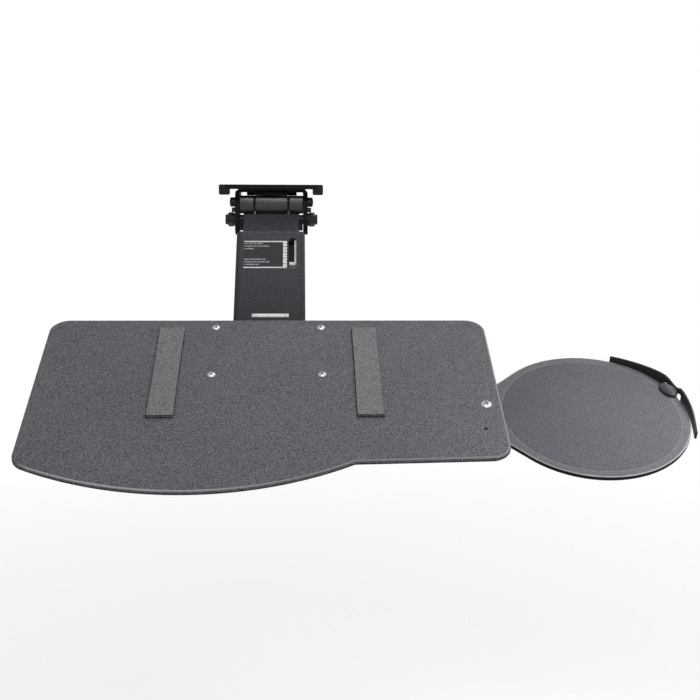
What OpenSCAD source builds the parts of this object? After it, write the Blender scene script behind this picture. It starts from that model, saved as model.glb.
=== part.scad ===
// Articulating keyboard tray for the underside of a desk.
// Origin: centre of the mount plate's top face, on the swivel axis. +X right, -Y towards the user, +Z up.

/* [Mount plate] */
// Width of the mount plate with both edge glides
plate_w = 142; // [136:1:180]
// Depth of the mount plate, front to back
plate_d = 100; // [90:1:160]
// Thickness of the mount plate
plate_t = 6.2; // [4:0.1:8]
// Width of each edge glide
glide_w = 14; // [10:0.5:15]
// Height of each edge glide
glide_h = 14; // [10:0.5:15]
// How far the plate rests on each glide
glide_ledge = 6; // [5:0.5:8]
// Depth of each edge glide, front to back
glide_d = 22; // [15:1:40]
// Chamfer on the glide's outer edges
glide_chamfer = 1.5; // [0.5:0.1:3]
// Diameter of the screws that hold the glides
glide_screw_d = 3; // [2:0.1:4]
// Diameter of the four fixing holes
fix_hole_d = 5.5; // [4:0.1:7]
// Diameter of the countersink under each fixing hole
fix_sink_d = 10; // [8:0.1:11]
// Fixing hole spacing, left to right
fix_pitch_x = 100; // [90:1:104]
// Fixing hole spacing, front to back
fix_pitch_y = 70; // [50:1:80]

/* [Swivel] */
// Diameter of the bearing washer under the plate
bearing_d = 95; // [60:1:96]
// Thickness of the bearing washer
bearing_t = 1; // [0.8:0.1:4]
// Diameter of the swivel rivet's shank
rivet_d = 16; // [10:0.5:20]
// Diameter of the rivet's flush head and of its tail
rivet_head_d = 26; // [22:0.5:34]
// Thickness of the rivet's head and of its tail
rivet_head_t = 2.2; // [1.5:0.1:3]
// Diameter of the retaining disc below the bracket
retainer_d = 70; // [50:1:75]
// Thickness of the retaining disc
retainer_t = 4.4; // [3:0.1:5]

/* [Swivel bracket] */
// How far each ear's inner face lies in from the arm's side
ear_in = 2.2; // [0:0.1:4]
// Thickness of the bracket's web
bracket_t = 3.4; // [2:0.1:4]
// Thickness of the bracket's ears
ear_t = 6.4; // [3:0.1:7]
// Outside bend radius of the bracket
bracket_bend_r = 5; // [4:0.5:8]
// Depth of the bracket's web, front to back
bracket_web_d = 52; // [44:1:54]
// Width of each ear, front to back
ear_d = 26; // [22:1:34]
// Distance from the link pivot down to the middle of each ear's round end
ear_tail = 8; // [3:0.5:12]
// How far the pivots sit in front of the swivel axis
pivot_front = 22; // [18:0.5:24]
// Gap between the retaining disc and the spring cover
cover_gap = 0.4; // [0.3:0.1:6]
// Distance from the spring shaft down to the link pivot
pivot_pitch = 24; // [23:0.1:30]
// Diameter of the spring shaft
shaft_d = 8; // [6:0.1:9]
// Diameter of the spring shaft's end caps
shaft_cap_d = 13; // [11:0.1:18]
// How far the shaft's end caps stand out of the ears
shaft_cap_h = 7.8; // [5:0.1:12]
// Diameter of the springs' anchor pins
anchor_pin_d = 6.4; // [4:0.1:7]
// How far the anchor pins stand out of the ears
anchor_pin_out = 4.8; // [2:0.1:8]
// Diameter of the link pivot rod
link_rod_d = 10; // [8:0.1:11]
// Width across flats of the large nuts
big_nut_af = 17; // [15:0.5:22]
// Height of the large nuts without their collars
big_nut_h = 8.5; // [5:0.1:12]
// Height of the collar on a large nut
big_collar_h = 3.5; // [2:0.1:5]

/* [Counterbalance spring] */
// Wire diameter of the torsion springs
spring_wire = 2.6; // [1.5:0.1:2.8]
// Inside diameter of the torsion springs
spring_id = 15.4; // [14.5:0.1:16]
// Turns in each torsion spring
spring_turns = 4; // [2:1:4]
// Wall of the spring cover
cover_wall = 1.5; // [1:0.1:2]
// End wall of the spring cover
cover_end = 1.4; // [1:0.1:3]

/* [Arm] */
// Slope of the arm below level, at its lowest stop
arm_slope = 44; // [40:0.5:46]
// Distance from the spring shaft to the tilt bolt, along the arm
arm_len = 222; // [216:1:300]
// How far the tilt bolt lies below the spring shaft, square to the arm
arm_end_drop = 8; // [6:0.1:10]
// Outside width of the arm
arm_w = 92; // [88:0.1:92]
// Sheet thickness of the arm
arm_t = 2.5; // [1.5:0.1:3]
// Outside bend radius of the arm
arm_bend_r = 4.5; // [4:0.1:8]
// Height of the arm's skin above the spring shaft
skin_rise = 6; // [5:0.1:10]
// Where the skin starts, along the arm
skin_start = 62; // [60:1:64]
// Radius of the skin's rear corners
skin_corner_r = 4; // [3:0.5:10]
// How far the skin runs past the tilt bolt
skin_past = 4; // [0:0.5:6]
// Depth of the side walls at the rear, below the spring shaft
wall_depth = 12; // [10:0.5:16]
// Radius of the arm's end around the tilt bolt
arm_end_r = 14; // [12:0.5:15]
// How far the tongue's edges lie in from the arm's sides
tongue_in = 7.6; // [6:0.1:16]
// Where the tongue starts, along the arm
tongue_start = 16; // [15:0.5:24]
// Where the tongue's shoulders start, along the arm
shoulder_start = 25; // [22:0.5:30]
// Length of the tongue's shoulders
shoulder_len = 19; // [10:0.5:30]
// Gap between each shoulder and the ear beside it
shoulder_gap = 0.6; // [0.4:0.1:2]
// Depth of the tongue's top face below the spring shaft
tongue_drop = 6; // [5.5:0.1:6.5]
// Distance of each lug from the arm's side
lug_in = 22.6; // [22.4:0.1:28]
// Thickness of each lug
lug_t = 2.4; // [1.5:0.1:4]
// Radius of each lug around the spring shaft
lug_r = 8.5; // [7.5:0.1:8.8]
// Wall of the arm's bushes
bush_wall = 1.5; // [1:0.1:1.8]

/* [Height scale] */
// Distance from the arm's side to the middle of the window
window_in = 16.5; // [15:0.1:19]
// Width of the window
window_w = 11.2; // [9:0.1:13]
// Where the window starts, along the arm
window_start = 74; // [70:0.5:80]
// Length of the window
window_len = 56.5; // [50:0.5:62]
// Thickness of the printed labels
label_t = 0.3; // [0.1:0.05:0.6]
// Distance from the arm's left side to the scale label
scale_in = 10.4; // [6:0.1:20]
// Gap between the scale label and the window
scale_gap = 2; // [0.4:0.1:3]
// Where the scale label starts, along the arm
scale_start = 80; // [72:0.5:90]
// Length of the scale label
scale_len = 49; // [30:0.5:70]
// Width of the lower label
low_label_w = 47; // [30:0.5:70]
// Length of the lower label
low_label_len = 5.6; // [4:0.1:10]
// Distance from the tilt bolt back to the start of the lower label
low_label_back = 14.4; // [10:0.1:30]
// Width of the pointer's bar
pointer_w = 2.8; // [2:0.1:5]
// Length of the pointer's bar
pointer_len = 43; // [20:0.5:44]
// Thickness of the pointer's strip
pointer_t = 1.2; // [0.8:0.1:2]
// Where the pointer's foot ends, along the arm
pointer_foot = 118.5; // [115:0.5:126]
// Width of the pointer's foot across the window
pointer_foot_w = 9.6; // [5:0.1:10]

/* [Link] */
// Gap between the link and each cheek of the tilt head
link_gap = 2.5; // [1.5:0.1:6]
// Sheet thickness of the link
link_t = 2.5; // [1.5:0.1:3]
// Radius of the link's eyes
link_eye_r = 8; // [7.5:0.1:8.2]
// Height of the link's web above its pivots
link_rise = 6; // [4:0.1:6.5]
// Distance from each pivot to the end of the web
link_web_in = 14; // [12:0.5:30]

/* [Tilt head] */
// Thickness of the washers between the arm and the tilt head
head_washer_t = 2.5; // [1:0.1:4]
// Sheet thickness of the tilt head
head_t = 3; // [2:0.1:3]
// Distance from the pivots to the front of the head
head_front = 17; // [14:0.5:20]
// Radius of the head around its pivots
head_r = 10.5; // [9.5:0.1:10.8]
// Diameter of the pin between head and link
head_pin_d = 8; // [6:0.1:9]
// Diameter of the tilt bolt
tilt_bolt_d = 10; // [8:0.1:11]
// Height of the tilt bolt's head
tilt_head_h = 6.4; // [4:0.1:8]

/* [Tray bracket] */
// Slope of the board below level, at the lowest tilt
tray_slope = 26.7; // [20:0.1:28]
// How far the tilt bolt lies behind the board's rear edge
tilt_back = 15; // [13:0.5:20]
// How far the tilt bolt lies below the board
tilt_drop = 18.5; // [18:0.1:24]
// Sheet thickness of the tray bracket
tray_bracket_t = 3; // [2:0.1:4]
// Gap between the arm and each ear of the tray bracket
tray_ear_gap = 1; // [0.6:0.1:2]
// Radius of the ears around the tilt bolt
tray_ear_r = 11.5; // [10:0.1:12]
// Margin of the bracket around its screws
bracket_margin = 10; // [8:0.5:20]

/* [Board] */
// Width of the board
board_w = 540; // [520:1:620]
// Depth of the board at the end of the bow
board_d = 278; // [250:1:320]
// Thickness of the board
board_t = 6; // [5:0.1:8]
// How far the bowed front reaches past the straight front
bow = 47.5; // [30:0.5:60]
// Middle of the bow, left of the board's middle
bow_left = 85; // [70:1:90]
// Half of the bow's width
bow_half = 183; // [175:1:190]
// How much shorter the board is at its right end
front_rise = 5; // [0:0.5:15]
// Radius of the board's corners
corner_r = 24; // [15:0.5:30]
// Screw spacing, left to right
screw_pitch_x = 130.5; // [120:0.5:150]
// Screw spacing, front to back
screw_pitch_y = 100.5; // [80:0.5:120]
// Distance from the rear edge to the first screws
screw_rear = 18; // [18:0.5:30]
// Shank diameter of the board screws
board_screw_d = 5; // [4:0.1:6]
// Head diameter of the board screws
board_screw_head_d = 10; // [8:0.1:12]
// Head height of the board screws
board_screw_head_h = 2.6; // [1.5:0.1:4]
// Diameter of the spare hole beside the mouse pivot
spare_hole_d = 4; // [2:0.1:6]
// Width of each foam pad
pad_w = 31.5; // [20:0.5:40]
// Length of each foam pad
pad_len = 179; // [120:0.5:220]
// Thickness of each foam pad
pad_t = 4; // [2:0.1:8]
// Distance from the board's middle to the middle of each pad
pad_x = 118.5; // [95:0.5:160]
// Distance from the rear edge to the pads
pad_rear = 22.5; // [10:0.5:60]

/* [Mouse platform] */
// Diameter of the mouse platform
disc_d = 226; // [190:1:240]
// Distance from the pivot to the platform's middle
disc_reach = 122; // [110:0.5:150]
// Thickness of the platform
disc_t = 5.5; // [4:0.1:8]
// Radius of the platform around its pivot
neck_r = 26; // [20:0.5:40]
// Distance from the board's right edge to the pivot
mouse_in = 17.5; // [14:0.5:40]
// Distance from the rear edge to the pivot
mouse_rear = 178; // [150:1:200]
// Direction of the platform from straight right, towards the user
mouse_turn = 1.5; // [0:0.5:10]
// Shank diameter of the pivot screw
mouse_screw_d = 6; // [5:0.1:8]
// Head diameter of the pivot screw
mouse_screw_head_d = 13; // [11:0.1:16]
// Height of the spacer between board and platform
mouse_spacer_h = 5; // [3:0.1:8]
// Diameter of the spacer and of the washer
mouse_spacer_d = 24; // [16:0.5:30]
// Width of the raised rim around the mat
mat_rim = 11; // [8:0.5:20]
// Depth of the mat's recess below the rim
rim_h = 1.4; // [1:0.1:2]
// Thickness of the mat
mat_t = 1; // [0.8:0.1:1]

/* [Mouse guard] */
// Direction of the guard's button from the platform's arm
guard_turn = 24.5; // [0:0.5:60]
// Half of the angle that the guard covers
guard_half = 44.5; // [30:0.5:60]
// Wall of the guard
guard_wall = 2.5; // [1.5:0.1:4]
// Gap between the guard's wings and the rim
guard_gap = 0.8; // [0.3:0.1:2]
// Height of the wings beside the button
guard_high = 13.4; // [10:0.1:18]
// Height of the wings at their ends
guard_low = 6.4; // [5:0.1:10]
// Height of the strap behind the button
guard_strap = 3.6; // [3:0.1:5]
// Half of the angle that the strap covers
strap_half = 5.6; // [5:0.1:9]
// Angle from the button to the wing on the user's side, with a notch beside the strap
notch_near = 9.5; // [8:0.1:12]
// Angle from the button to the wing on the far side
notch_far = 7.2; // [6:0.1:12]
// Height of each notch
notch_h = 8.5; // [4:0.1:9]
// How far the wing's end on the user's side stands off the rim
guard_flare = 3.4; // [0:0.1:8]
// How far the wall bulges out around the button
guard_bulge = 4.8; // [4:0.1:14]
// Thickness of the tab under the button
guard_tab_t = 2; // [1.5:0.1:3]
// Length of the oval button, along the rim
button_len = 27; // [20:0.5:30]
// Width of the oval button
button_w = 16.6; // [14:0.1:18]
// Height of the button's dome
button_h = 5; // [4:0.1:9]
// Distance from the platform's edge in to the button
button_in = 6; // [6:0.5:10]
// How far the button's head stands out over its stem, towards the guard
button_out = 2; // [0:0.1:3]
// Diameter of the button's stem
button_stem_d = 6; // [4:0.1:8]

/* [Hidden] */
$fn = 64;

// Radial clearance of every shaft or screw in its hole
fit = 0.06;
// Radial clearance of the link on the head pin
loose_fit = 0.15;
// Clearance between pieces that pass each other
pass = 0.3;
// Overlap that makes cuts run clean through a face
cut = 1;

// Levels below the mount plate
plate_half = plate_w / 2 - glide_w + glide_ledge;
web_top = -plate_t - bearing_t;
web_under = web_top - bracket_t;
retainer_under = web_under - retainer_t;
glide_screw_head_d = 2 * glide_screw_d;
glide_screw_head_t = glide_screw_d / 2;
glide_screw_x = plate_half - glide_ledge / 2;
glide_screw_y = (glide_d - plate_d) / 2;
glide_screw_short = 2;
big_washer_t = 1.5;
big_washer_d = big_nut_af + 1;
big_collar_d = big_nut_af - 3;

// Spring and cover, hung on the shaft
spring_mid_r = (spring_id + spring_wire) / 2;
ring_steps = 16;
spring_sag = (spring_id / 2) * (1 - cos(180 / ring_steps));
spring_drop = spring_id / 2 - spring_sag - shaft_d / 2 - fit;
cover_r = spring_mid_r + spring_wire / 2 + pass;
spring_z = retainer_under - cover_gap - cover_wall - cover_r;
shaft_z = spring_z + spring_drop;
anchor_z = shaft_z - (pivot_pitch + shaft_cap_d / 2 - big_washer_d / 2) / 2;
link_z = shaft_z - pivot_pitch;
seam_half = lug_t / 2 + pass;

// Arm, link and head
arm_half = arm_w / 2;
arm_in = arm_half - arm_t;
ear_gap = arm_w - 2 * ear_in;
ear_out = ear_gap / 2 + ear_t;
tongue_w = arm_w - 2 * tongue_in;
lug_x = arm_half - lug_in;
window_x = arm_half - window_in;
scale_left = arm_half - scale_in;
low_label_start = arm_len - low_label_back;
cover_end_x = ear_gap / 2 - pass;
spring_run = cover_end_x - cover_end - lug_x - seam_half - 2 * pass;
spring_pitch = (spring_run - spring_wire) / spring_turns;
head_half = arm_in - head_washer_t;
link_half = head_half - head_t - link_gap;
link_w = 2 * link_half;
head_w = 2 * head_half;
link_len = sqrt(arm_len * arm_len + arm_end_drop * arm_end_drop);
link_slope = arm_slope + atan(arm_end_drop / arm_len);
tilt_y = -pivot_front - link_len * cos(link_slope);
tilt_z = shaft_z - link_len * sin(link_slope);
lug_bush_d = shaft_d + 2 * fit + 2 * bush_wall;
link_bush_d = link_rod_d + 2 * fit + 2 * bush_wall;
link_spacer_d = link_rod_d + 2 * fit + 2 * bush_wall;
// Reach of the heel on each lug, which meets the retaining disc when the arm is down
heel_reach = (retainer_under - shaft_z - pass) / sin(arm_slope);
skin_low = skin_rise - arm_t;
tongue_low = -tongue_drop - arm_t;
wall_run = 17;
shoulder_out = ear_gap / 2 - shoulder_gap;
shoulder_low = tongue_low - arm_t;
scale_right = window_x - window_w / 2 - scale_gap;
// Height of the pointer's strip above the link's pivots, just under the skin
pointer_top = pivot_pitch * cos(link_slope) + skin_low + (window_start / arm_len) * arm_end_drop - 2 * pass;
pointer_x = window_x + window_w / 2 - 0.5 - pointer_w;
pointer_y = pivot_pitch * sin(link_slope) - pointer_foot;

// Tray
tray_ear_in = arm_half + tray_ear_gap;
tray_ear_out = tray_ear_in + tray_bracket_t;
tray_plate_half = screw_pitch_x / 2 + bracket_margin;
tray_plate_rear = screw_rear - bracket_margin;
tray_plate_front = screw_rear + screw_pitch_y + bracket_margin;
ear_tail_drop = 6;
board_nut_af = 1.6 * board_screw_d;
board_nut_h = 0.8 * board_screw_d;
board_half = board_w / 2;
bow_r = (bow_half * bow_half + bow * bow) / (2 * bow);
bow_y = bow_r - board_d - bow;
kink_x = bow_half - bow_left;
front_tilt = atan(front_rise / (board_half - kink_x));
spare_hole_x = 6.5;
spare_hole_y = 45;
arc_steps = 12;
bend_steps = 6;

// Mouse platform
disc_r = disc_d / 2;
neck_turn = acos(-(disc_r - neck_r) / disc_reach);
mouse_washer_t = 1.5;
mouse_nut_af = 1.7 * mouse_screw_d;
mouse_nut_h = mouse_screw_d;
mouse_screw_head_h = 3;
mouse_screw_end = disc_t + mouse_washer_t + mouse_nut_h + 1;
mat_r = disc_r - mat_rim;
button_at = disc_r - button_in;
tab_margin = 0.5;
button_edge = 0.8;
collar_d = button_stem_d + 5;
collar_t = 1.5;
guard_steps = 60;

// Places a child in the arm's own frame: origin on the spring shaft, -Y along the arm, +Z out of its skin
module on_arm() {
    translate([0, -pivot_front, shaft_z]) rotate([arm_slope, 0, 0]) children();
}

// Places a child on the link: origin on its rear pivot, -Y towards its front pivot
module on_link() {
    translate([0, -pivot_front, link_z]) rotate([link_slope, 0, 0]) children();
}

// Places a child on the tilt head, which stays level: origin on the tilt bolt
module on_head() {
    translate([0, tilt_y, tilt_z]) children();
}

// Places a child on the tray: origin on the tilt bolt, +Y along the board, +Z out of its top
module on_tray() {
    on_head() rotate([tray_slope, 0, 0]) children();
}

// Places a child on the board: origin at the middle of its rear edge, on its top face
module on_board() {
    on_tray() translate([0, -tilt_back, tilt_drop + board_t]) children();
}

// Places a child at the mouse pivot: +X along the platform's arm, origin on the platform's top face
module on_platform() {
    on_board() translate([board_half - mouse_in, -mouse_rear, -board_t - mouse_spacer_h])
        rotate([0, 0, -mouse_turn]) children();
}

// Extrudes a side view, drawn in Y and Z, from x0 to x1
module across(x0, x1) {
    translate([x0, 0, 0]) rotate([90, 0, 90]) linear_extrude(x1 - x0) children();
}

// The same side view on the left and on the right
module both_sides(x0, x1) {
    across(x0, x1) children();
    across(-x1, -x0) children();
}

// A round bar along X
module bar_x(d, x0, x1) {
    translate([x0, 0, 0]) rotate([0, 90, 0]) cylinder(d = d, h = x1 - x0);
}

// A tube along X
module tube_x(d_out, d_in, x0, x1) {
    difference() {
        bar_x(d_out, x0, x1);
        bar_x(d_in, x0 - cut, x1 + cut);
    }
}

// A hexagon bar along Z by its width across flats
module hexagon(af, h) {
    cylinder(d = af / cos(30), h = h, $fn = 6);
}

// A nut with a round locking collar, standing on Z = 0
module lock_nut(af, h, collar_d, collar_h, bore) {
    difference() {
        union() {
            hexagon(af, h);
            cylinder(d = collar_d, h = h + collar_h);
        }
        translate([0, 0, -cut]) cylinder(d = bore, h = h + collar_h + 2 * cut);
    }
}

// Points on an arc
function arc(x, y, r, a0, a1, n) = [
    for (i = [0:n]) let (a = a0 + (a1 - a0) * i / n) [x + r * cos(a), y + r * sin(a)]
];

// A bent sheet seen along the bend: two walls under a web whose top is at zero
module bent_sheet(w, h, r, web, wall) {
    bend_x = w / 2 - r;
    inner_r = max(r - web, web / 4);
    inner_x = w / 2 - wall - inner_r;
    polygon(concat(
        [[-w / 2, -h]],
        arc(-bend_x, -r, r, 180, 90, bend_steps),
        arc(bend_x, -r, r, 90, 0, bend_steps),
        [[w / 2, -h], [w / 2 - wall, -h]],
        arc(inner_x, -web - inner_r, inner_r, 0, 90, bend_steps),
        arc(-inner_x, -web - inner_r, inner_r, 90, 180, bend_steps),
        [[wall - w / 2, -h]]
    ));
}

// Four places on a rectangle around the middle
function corners(px, py) = [for (sx = [-1, 1]) for (sy = [-1, 1]) [sx * px / 2, sy * py / 2]];

// Mount plate: flat steel with four countersunk fixing holes
module mount_plate() color("#1d1d1d") difference() {
    translate([-plate_half, -plate_d / 2, -plate_t]) cube([2 * plate_half, plate_d, plate_t]);
    translate([0, 0, -plate_t - cut]) cylinder(d = rivet_d + 2 * fit, h = plate_t + 2 * cut);
    translate([0, 0, -rivet_head_t]) cylinder(d = rivet_head_d + 2 * fit, h = rivet_head_t + cut);
    for (p = corners(fix_pitch_x, fix_pitch_y)) translate([p[0], p[1], -plate_t]) {
        translate([0, 0, -cut]) cylinder(d = fix_hole_d, h = plate_t + 2 * cut);
        cylinder(d1 = fix_sink_d, d2 = fix_hole_d, h = (fix_sink_d - fix_hole_d) / 2);
    }
    at_glide_screws() {
        translate([0, 0, -plate_t - cut]) cylinder(d = glide_screw_d + 2 * fit, h = plate_t + 2 * cut);
        translate([0, 0, -glide_screw_head_t])
            cylinder(d1 = glide_screw_d + 2 * fit, d2 = glide_screw_head_d + 2 * fit, h = glide_screw_head_t);
    }
}

// The two glide screws' places, on the plate's top face
module at_glide_screws() {
    for (side = [-1, 1]) translate([side * glide_screw_x, glide_screw_y, 0]) children();
}

// Edge glide: moulded L block that a front corner of the plate sits in
module glide(side) color("#2a2a2a") difference() {
    mirror([side < 0 ? 1 : 0, 0, 0]) translate([0, glide_d - plate_d / 2, 0]) rotate([90, 0, 0])
        linear_extrude(glide_d) polygon([
            [plate_half - glide_ledge, glide_chamfer - glide_h],
            [plate_half - glide_ledge + glide_chamfer, -glide_h],
            [plate_w / 2 - glide_chamfer, -glide_h],
            [plate_w / 2, -glide_h + glide_chamfer], [plate_w / 2, -glide_chamfer],
            [plate_w / 2 - glide_chamfer, 0], [plate_half, 0],
            [plate_half, -plate_t], [plate_half - glide_ledge, -plate_t]
        ]);
    at_glide_screws() translate([0, 0, -glide_h - cut])
        cylinder(d = glide_screw_d + 2 * fit, h = glide_h + 2 * cut);
}

module glide_left() glide(-1);
module glide_right() glide(1);

// Countersunk screws that hold the glides to the plate
module glide_screws() color("#3a3a3c") at_glide_screws() {
    translate([0, 0, -glide_screw_head_t])
        cylinder(d1 = glide_screw_d, d2 = glide_screw_head_d, h = glide_screw_head_t);
    translate([0, 0, glide_screw_short - glide_h])
        cylinder(d = glide_screw_d, h = glide_h - glide_screw_short);
}

// Nylon washer that the bracket turns on
module swivel_bearing() color("#d8d6cf") translate([0, 0, web_top]) difference() {
    cylinder(d = bearing_d, h = bearing_t);
    translate([0, 0, -cut]) cylinder(d = rivet_d + 2 * fit, h = bearing_t + 2 * cut);
}

// Steel disc that holds the bracket up against the bearing
module swivel_retainer() color("#232325") translate([0, 0, retainer_under]) difference() {
    cylinder(d = retainer_d, h = retainer_t);
    translate([0, 0, -cut]) cylinder(d = rivet_d + 2 * fit, h = retainer_t + 2 * cut);
    translate([0, 0, -cut]) cylinder(d = rivet_head_d + 2 * fit, h = rivet_head_t + cut);
}

// Swivel rivet: flush head in the plate, tail in the retaining disc
module swivel_rivet() color("#5a5a5e") {
    translate([0, 0, retainer_under]) cylinder(d = rivet_d, h = -retainer_under);
    translate([0, 0, -rivet_head_t]) cylinder(d = rivet_head_d, h = rivet_head_t);
    translate([0, 0, retainer_under]) cylinder(d = rivet_head_d, h = rivet_head_t);
}

// Side view of the bracket: a short web above two longer ears
module bracket_side() {
    front = -pivot_front - ear_d / 2;
    back = -pivot_front + ear_d / 2;
    web_half = bracket_web_d / 2;
    shoulder = -max(glide_h, -retainer_under) - 1;
    polygon(concat(
        [[-web_half, web_top], [web_half, web_top], [web_half, shoulder], [back, anchor_z]],
        arc(-pivot_front, link_z - ear_tail, ear_d / 2, 0, -180, 2 * arc_steps),
        [[front, shoulder - 6], [-web_half, shoulder]]
    ));
}

// Swivel bracket: a bent steel U whose ears carry the shaft, the anchor pins and the link rod
module swivel_bracket() color("#2b2a2e") difference() {
    intersection() {
        translate([0, bracket_web_d, web_top]) rotate([90, 0, 0]) linear_extrude(3 * bracket_web_d)
            bent_sheet(2 * ear_out, pivot_pitch - link_z + 2 * ear_d, bracket_bend_r, bracket_t, ear_t);
        across(-ear_out - cut, ear_out + cut) bracket_side();
    }
    translate([0, 0, web_under - cut]) cylinder(d = rivet_d + 2 * fit, h = bracket_t + 2 * cut);
    translate([0, -pivot_front, shaft_z]) bar_x(shaft_d + 2 * fit, -ear_out - cut, ear_out + cut);
    translate([0, -pivot_front, anchor_z]) bar_x(anchor_pin_d + 2 * fit, -ear_out - cut, ear_out + cut);
    translate([0, -pivot_front, link_z]) bar_x(link_rod_d + 2 * fit, -ear_out - cut, ear_out + cut);
}

// Spring shaft: steel rod with a formed head on the right
module spring_shaft() color("#6a6a6e") translate([0, -pivot_front, shaft_z]) {
    bar_x(shaft_d, -ear_out - shaft_cap_h + 2, ear_out + 1);
    translate([ear_out, 0, 0]) rotate([0, 90, 0]) {
        cylinder(d = shaft_cap_d, h = shaft_cap_h / 2);
        translate([0, 0, shaft_cap_h / 2])
            cylinder(d1 = shaft_cap_d, d2 = shaft_cap_d * 0.6, h = shaft_cap_h / 2);
    }
}

// Push-on cap on the shaft's left end
module shaft_cap() color("#6a6a6e") translate([-ear_out, -pivot_front, shaft_z]) rotate([0, -90, 0])
    difference() {
        cylinder(d = shaft_cap_d, h = shaft_cap_h);
        translate([0, 0, -cut]) cylinder(d = shaft_d + 2 * fit, h = shaft_cap_h - 1.5 + cut);
    }

// Section of the spring cover from x0 to x1, with an end wall on the shaft at each end that is asked for
module spring_cover(x0, x1, wall0, wall1) color("#4a494d") translate([0, -pivot_front, 0]) difference() {
    translate([0, 0, spring_z]) difference() {
        bar_x(2 * (cover_r + cover_wall), x0, x1);
        bar_x(2 * cover_r, x0 + (wall0 ? cover_end : -cut), x1 - (wall1 ? cover_end : -cut));
    }
    translate([0, 0, shaft_z]) bar_x(shaft_d + 2 * fit, x0 - cut, x1 + cut);
}

module spring_cover_left() spring_cover(-cover_end_x, -lug_x - seam_half, true, false);
module spring_cover_centre() spring_cover(-lug_x + seam_half, lug_x - seam_half, true, true);
module spring_cover_right() spring_cover(lug_x + seam_half, cover_end_x, false, true);

// Torsion spring: a wire wound as a helix along X, six-sided, from x0 by its pitch
function helix(i) = let (a = 360 * i / ring_steps) [
    spring_wire / 2 + spring_pitch * i / ring_steps, spring_mid_r * cos(a), spring_mid_r * sin(a)
];
function wire_ring(i) = let (a = 360 * i / ring_steps, c = helix(i)) [
    for (k = [0:5]) c + spring_wire / 2 * [cos(60 * k), sin(60 * k) * cos(a), sin(60 * k) * sin(a)]
];
ring_count = spring_turns * ring_steps;
wire_points = [for (i = [0:ring_count]) each wire_ring(i)];
wire_faces = concat(
    [for (i = [0:ring_count - 1]) for (k = [0:5]) [6 * i + k, 6 * i + 6 + k, 6 * i + (k + 1) % 6]],
    [for (i = [0:ring_count - 1]) for (k = [0:5])
        [6 * i + (k + 1) % 6, 6 * i + 6 + k, 6 * i + 6 + (k + 1) % 6]],
    [for (k = [1:4]) [0, k, k + 1]],
    [for (k = [1:4]) [6 * ring_count, 6 * ring_count + k + 1, 6 * ring_count + k]]
);
// Least gap between one turn and the next, measured on the wire's middle line
turn_gap = min([for (i = [0:ring_steps]) for (j = [ring_steps / 2:3 * ring_steps / 2])
    norm(helix(i + j) - helix(i))]) - spring_wire;
echo(turn_gap = turn_gap);

module torsion_spring(x0) color("#7c7c80")
    translate([x0, -pivot_front, spring_z]) polyhedron(wire_points, wire_faces);

module torsion_spring_left() torsion_spring(-cover_end_x + cover_end + pass);
module torsion_spring_right() torsion_spring(cover_end_x - cover_end - pass - spring_run);

// Anchor pins of the springs, riveted into the ears
module anchor_pins() color("#5a5a5e") translate([0, -pivot_front, anchor_z]) {
    bar_x(anchor_pin_d, ear_gap / 2, ear_out + anchor_pin_out);
    bar_x(anchor_pin_d, -ear_out - anchor_pin_out, -ear_gap / 2);
}

// Link pivot rod through both ears
module link_pivot_rod() color("#77777b") translate([0, -pivot_front, link_z])
    bar_x(link_rod_d, -ear_out - big_washer_t - big_nut_h - big_collar_h + 1,
        ear_out + big_washer_t + big_nut_h + big_collar_h - 1);

module link_pivot_washers() color("#9a9a9e") translate([0, -pivot_front, link_z]) {
    tube_x(big_washer_d, link_rod_d + 2 * fit, ear_out, ear_out + big_washer_t);
    tube_x(big_washer_d, link_rod_d + 2 * fit, -ear_out - big_washer_t, -ear_out);
}

module link_pivot_nuts() color("#55555a") translate([0, -pivot_front, link_z])
    for (s = [-1, 1]) translate([s * (ear_out + big_washer_t), 0, 0]) rotate([0, s * 90, 0])
        lock_nut(big_nut_af, big_nut_h, big_collar_d, big_collar_h, link_rod_d + 2 * fit);

// Spacer tubes that keep the link in the middle of the bracket
module link_spacers() color("#3f3f42") translate([0, -pivot_front, link_z]) {
    tube_x(link_spacer_d, link_rod_d + 2 * fit, link_half + pass, ear_gap / 2);
    tube_x(link_spacer_d, link_rod_d + 2 * fit, -ear_gap / 2, -link_half - pass);
}

// Side view of the arm's skin and side walls
module arm_side() {
    polygon([
        [-skin_start, skin_rise], [-skin_start, -wall_depth],
        [wall_run - arm_len, -arm_end_drop - arm_end_r + 0.5],
        [-arm_len, -arm_end_drop], [-arm_len - skin_past, skin_rise]
    ]);
    translate([-arm_len, -arm_end_drop]) circle(arm_end_r);
}

// Plan of the skin: square at the front, round corners at the rear
module arm_plan() {
    r = skin_corner_r;
    translate([-arm_half, -arm_len - 2 * arm_end_r])
        square([arm_w, arm_len + 2 * arm_end_r - skin_start - r]);
    translate([-arm_half + r, -arm_len]) square([arm_w - 2 * r, arm_len - skin_start]);
    for (s = [-1, 1]) translate([s * (arm_half - r), -skin_start - r]) circle(r);
}

// Side view of a lug: an eye on the spring shaft, a heel behind it and a strip down to the tongue
module lug_side() {
    circle(lug_r);
    polygon([
        [0, lug_r * 0.9], [heel_reach, 0], [0, -lug_r * 0.9],
        [-tongue_start, -lug_r / 2], [-tongue_start, tongue_low],
        [-skin_start, tongue_low], [-skin_start, -tongue_drop], [-2 * tongue_start, -tongue_drop]
    ]);
}

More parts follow.
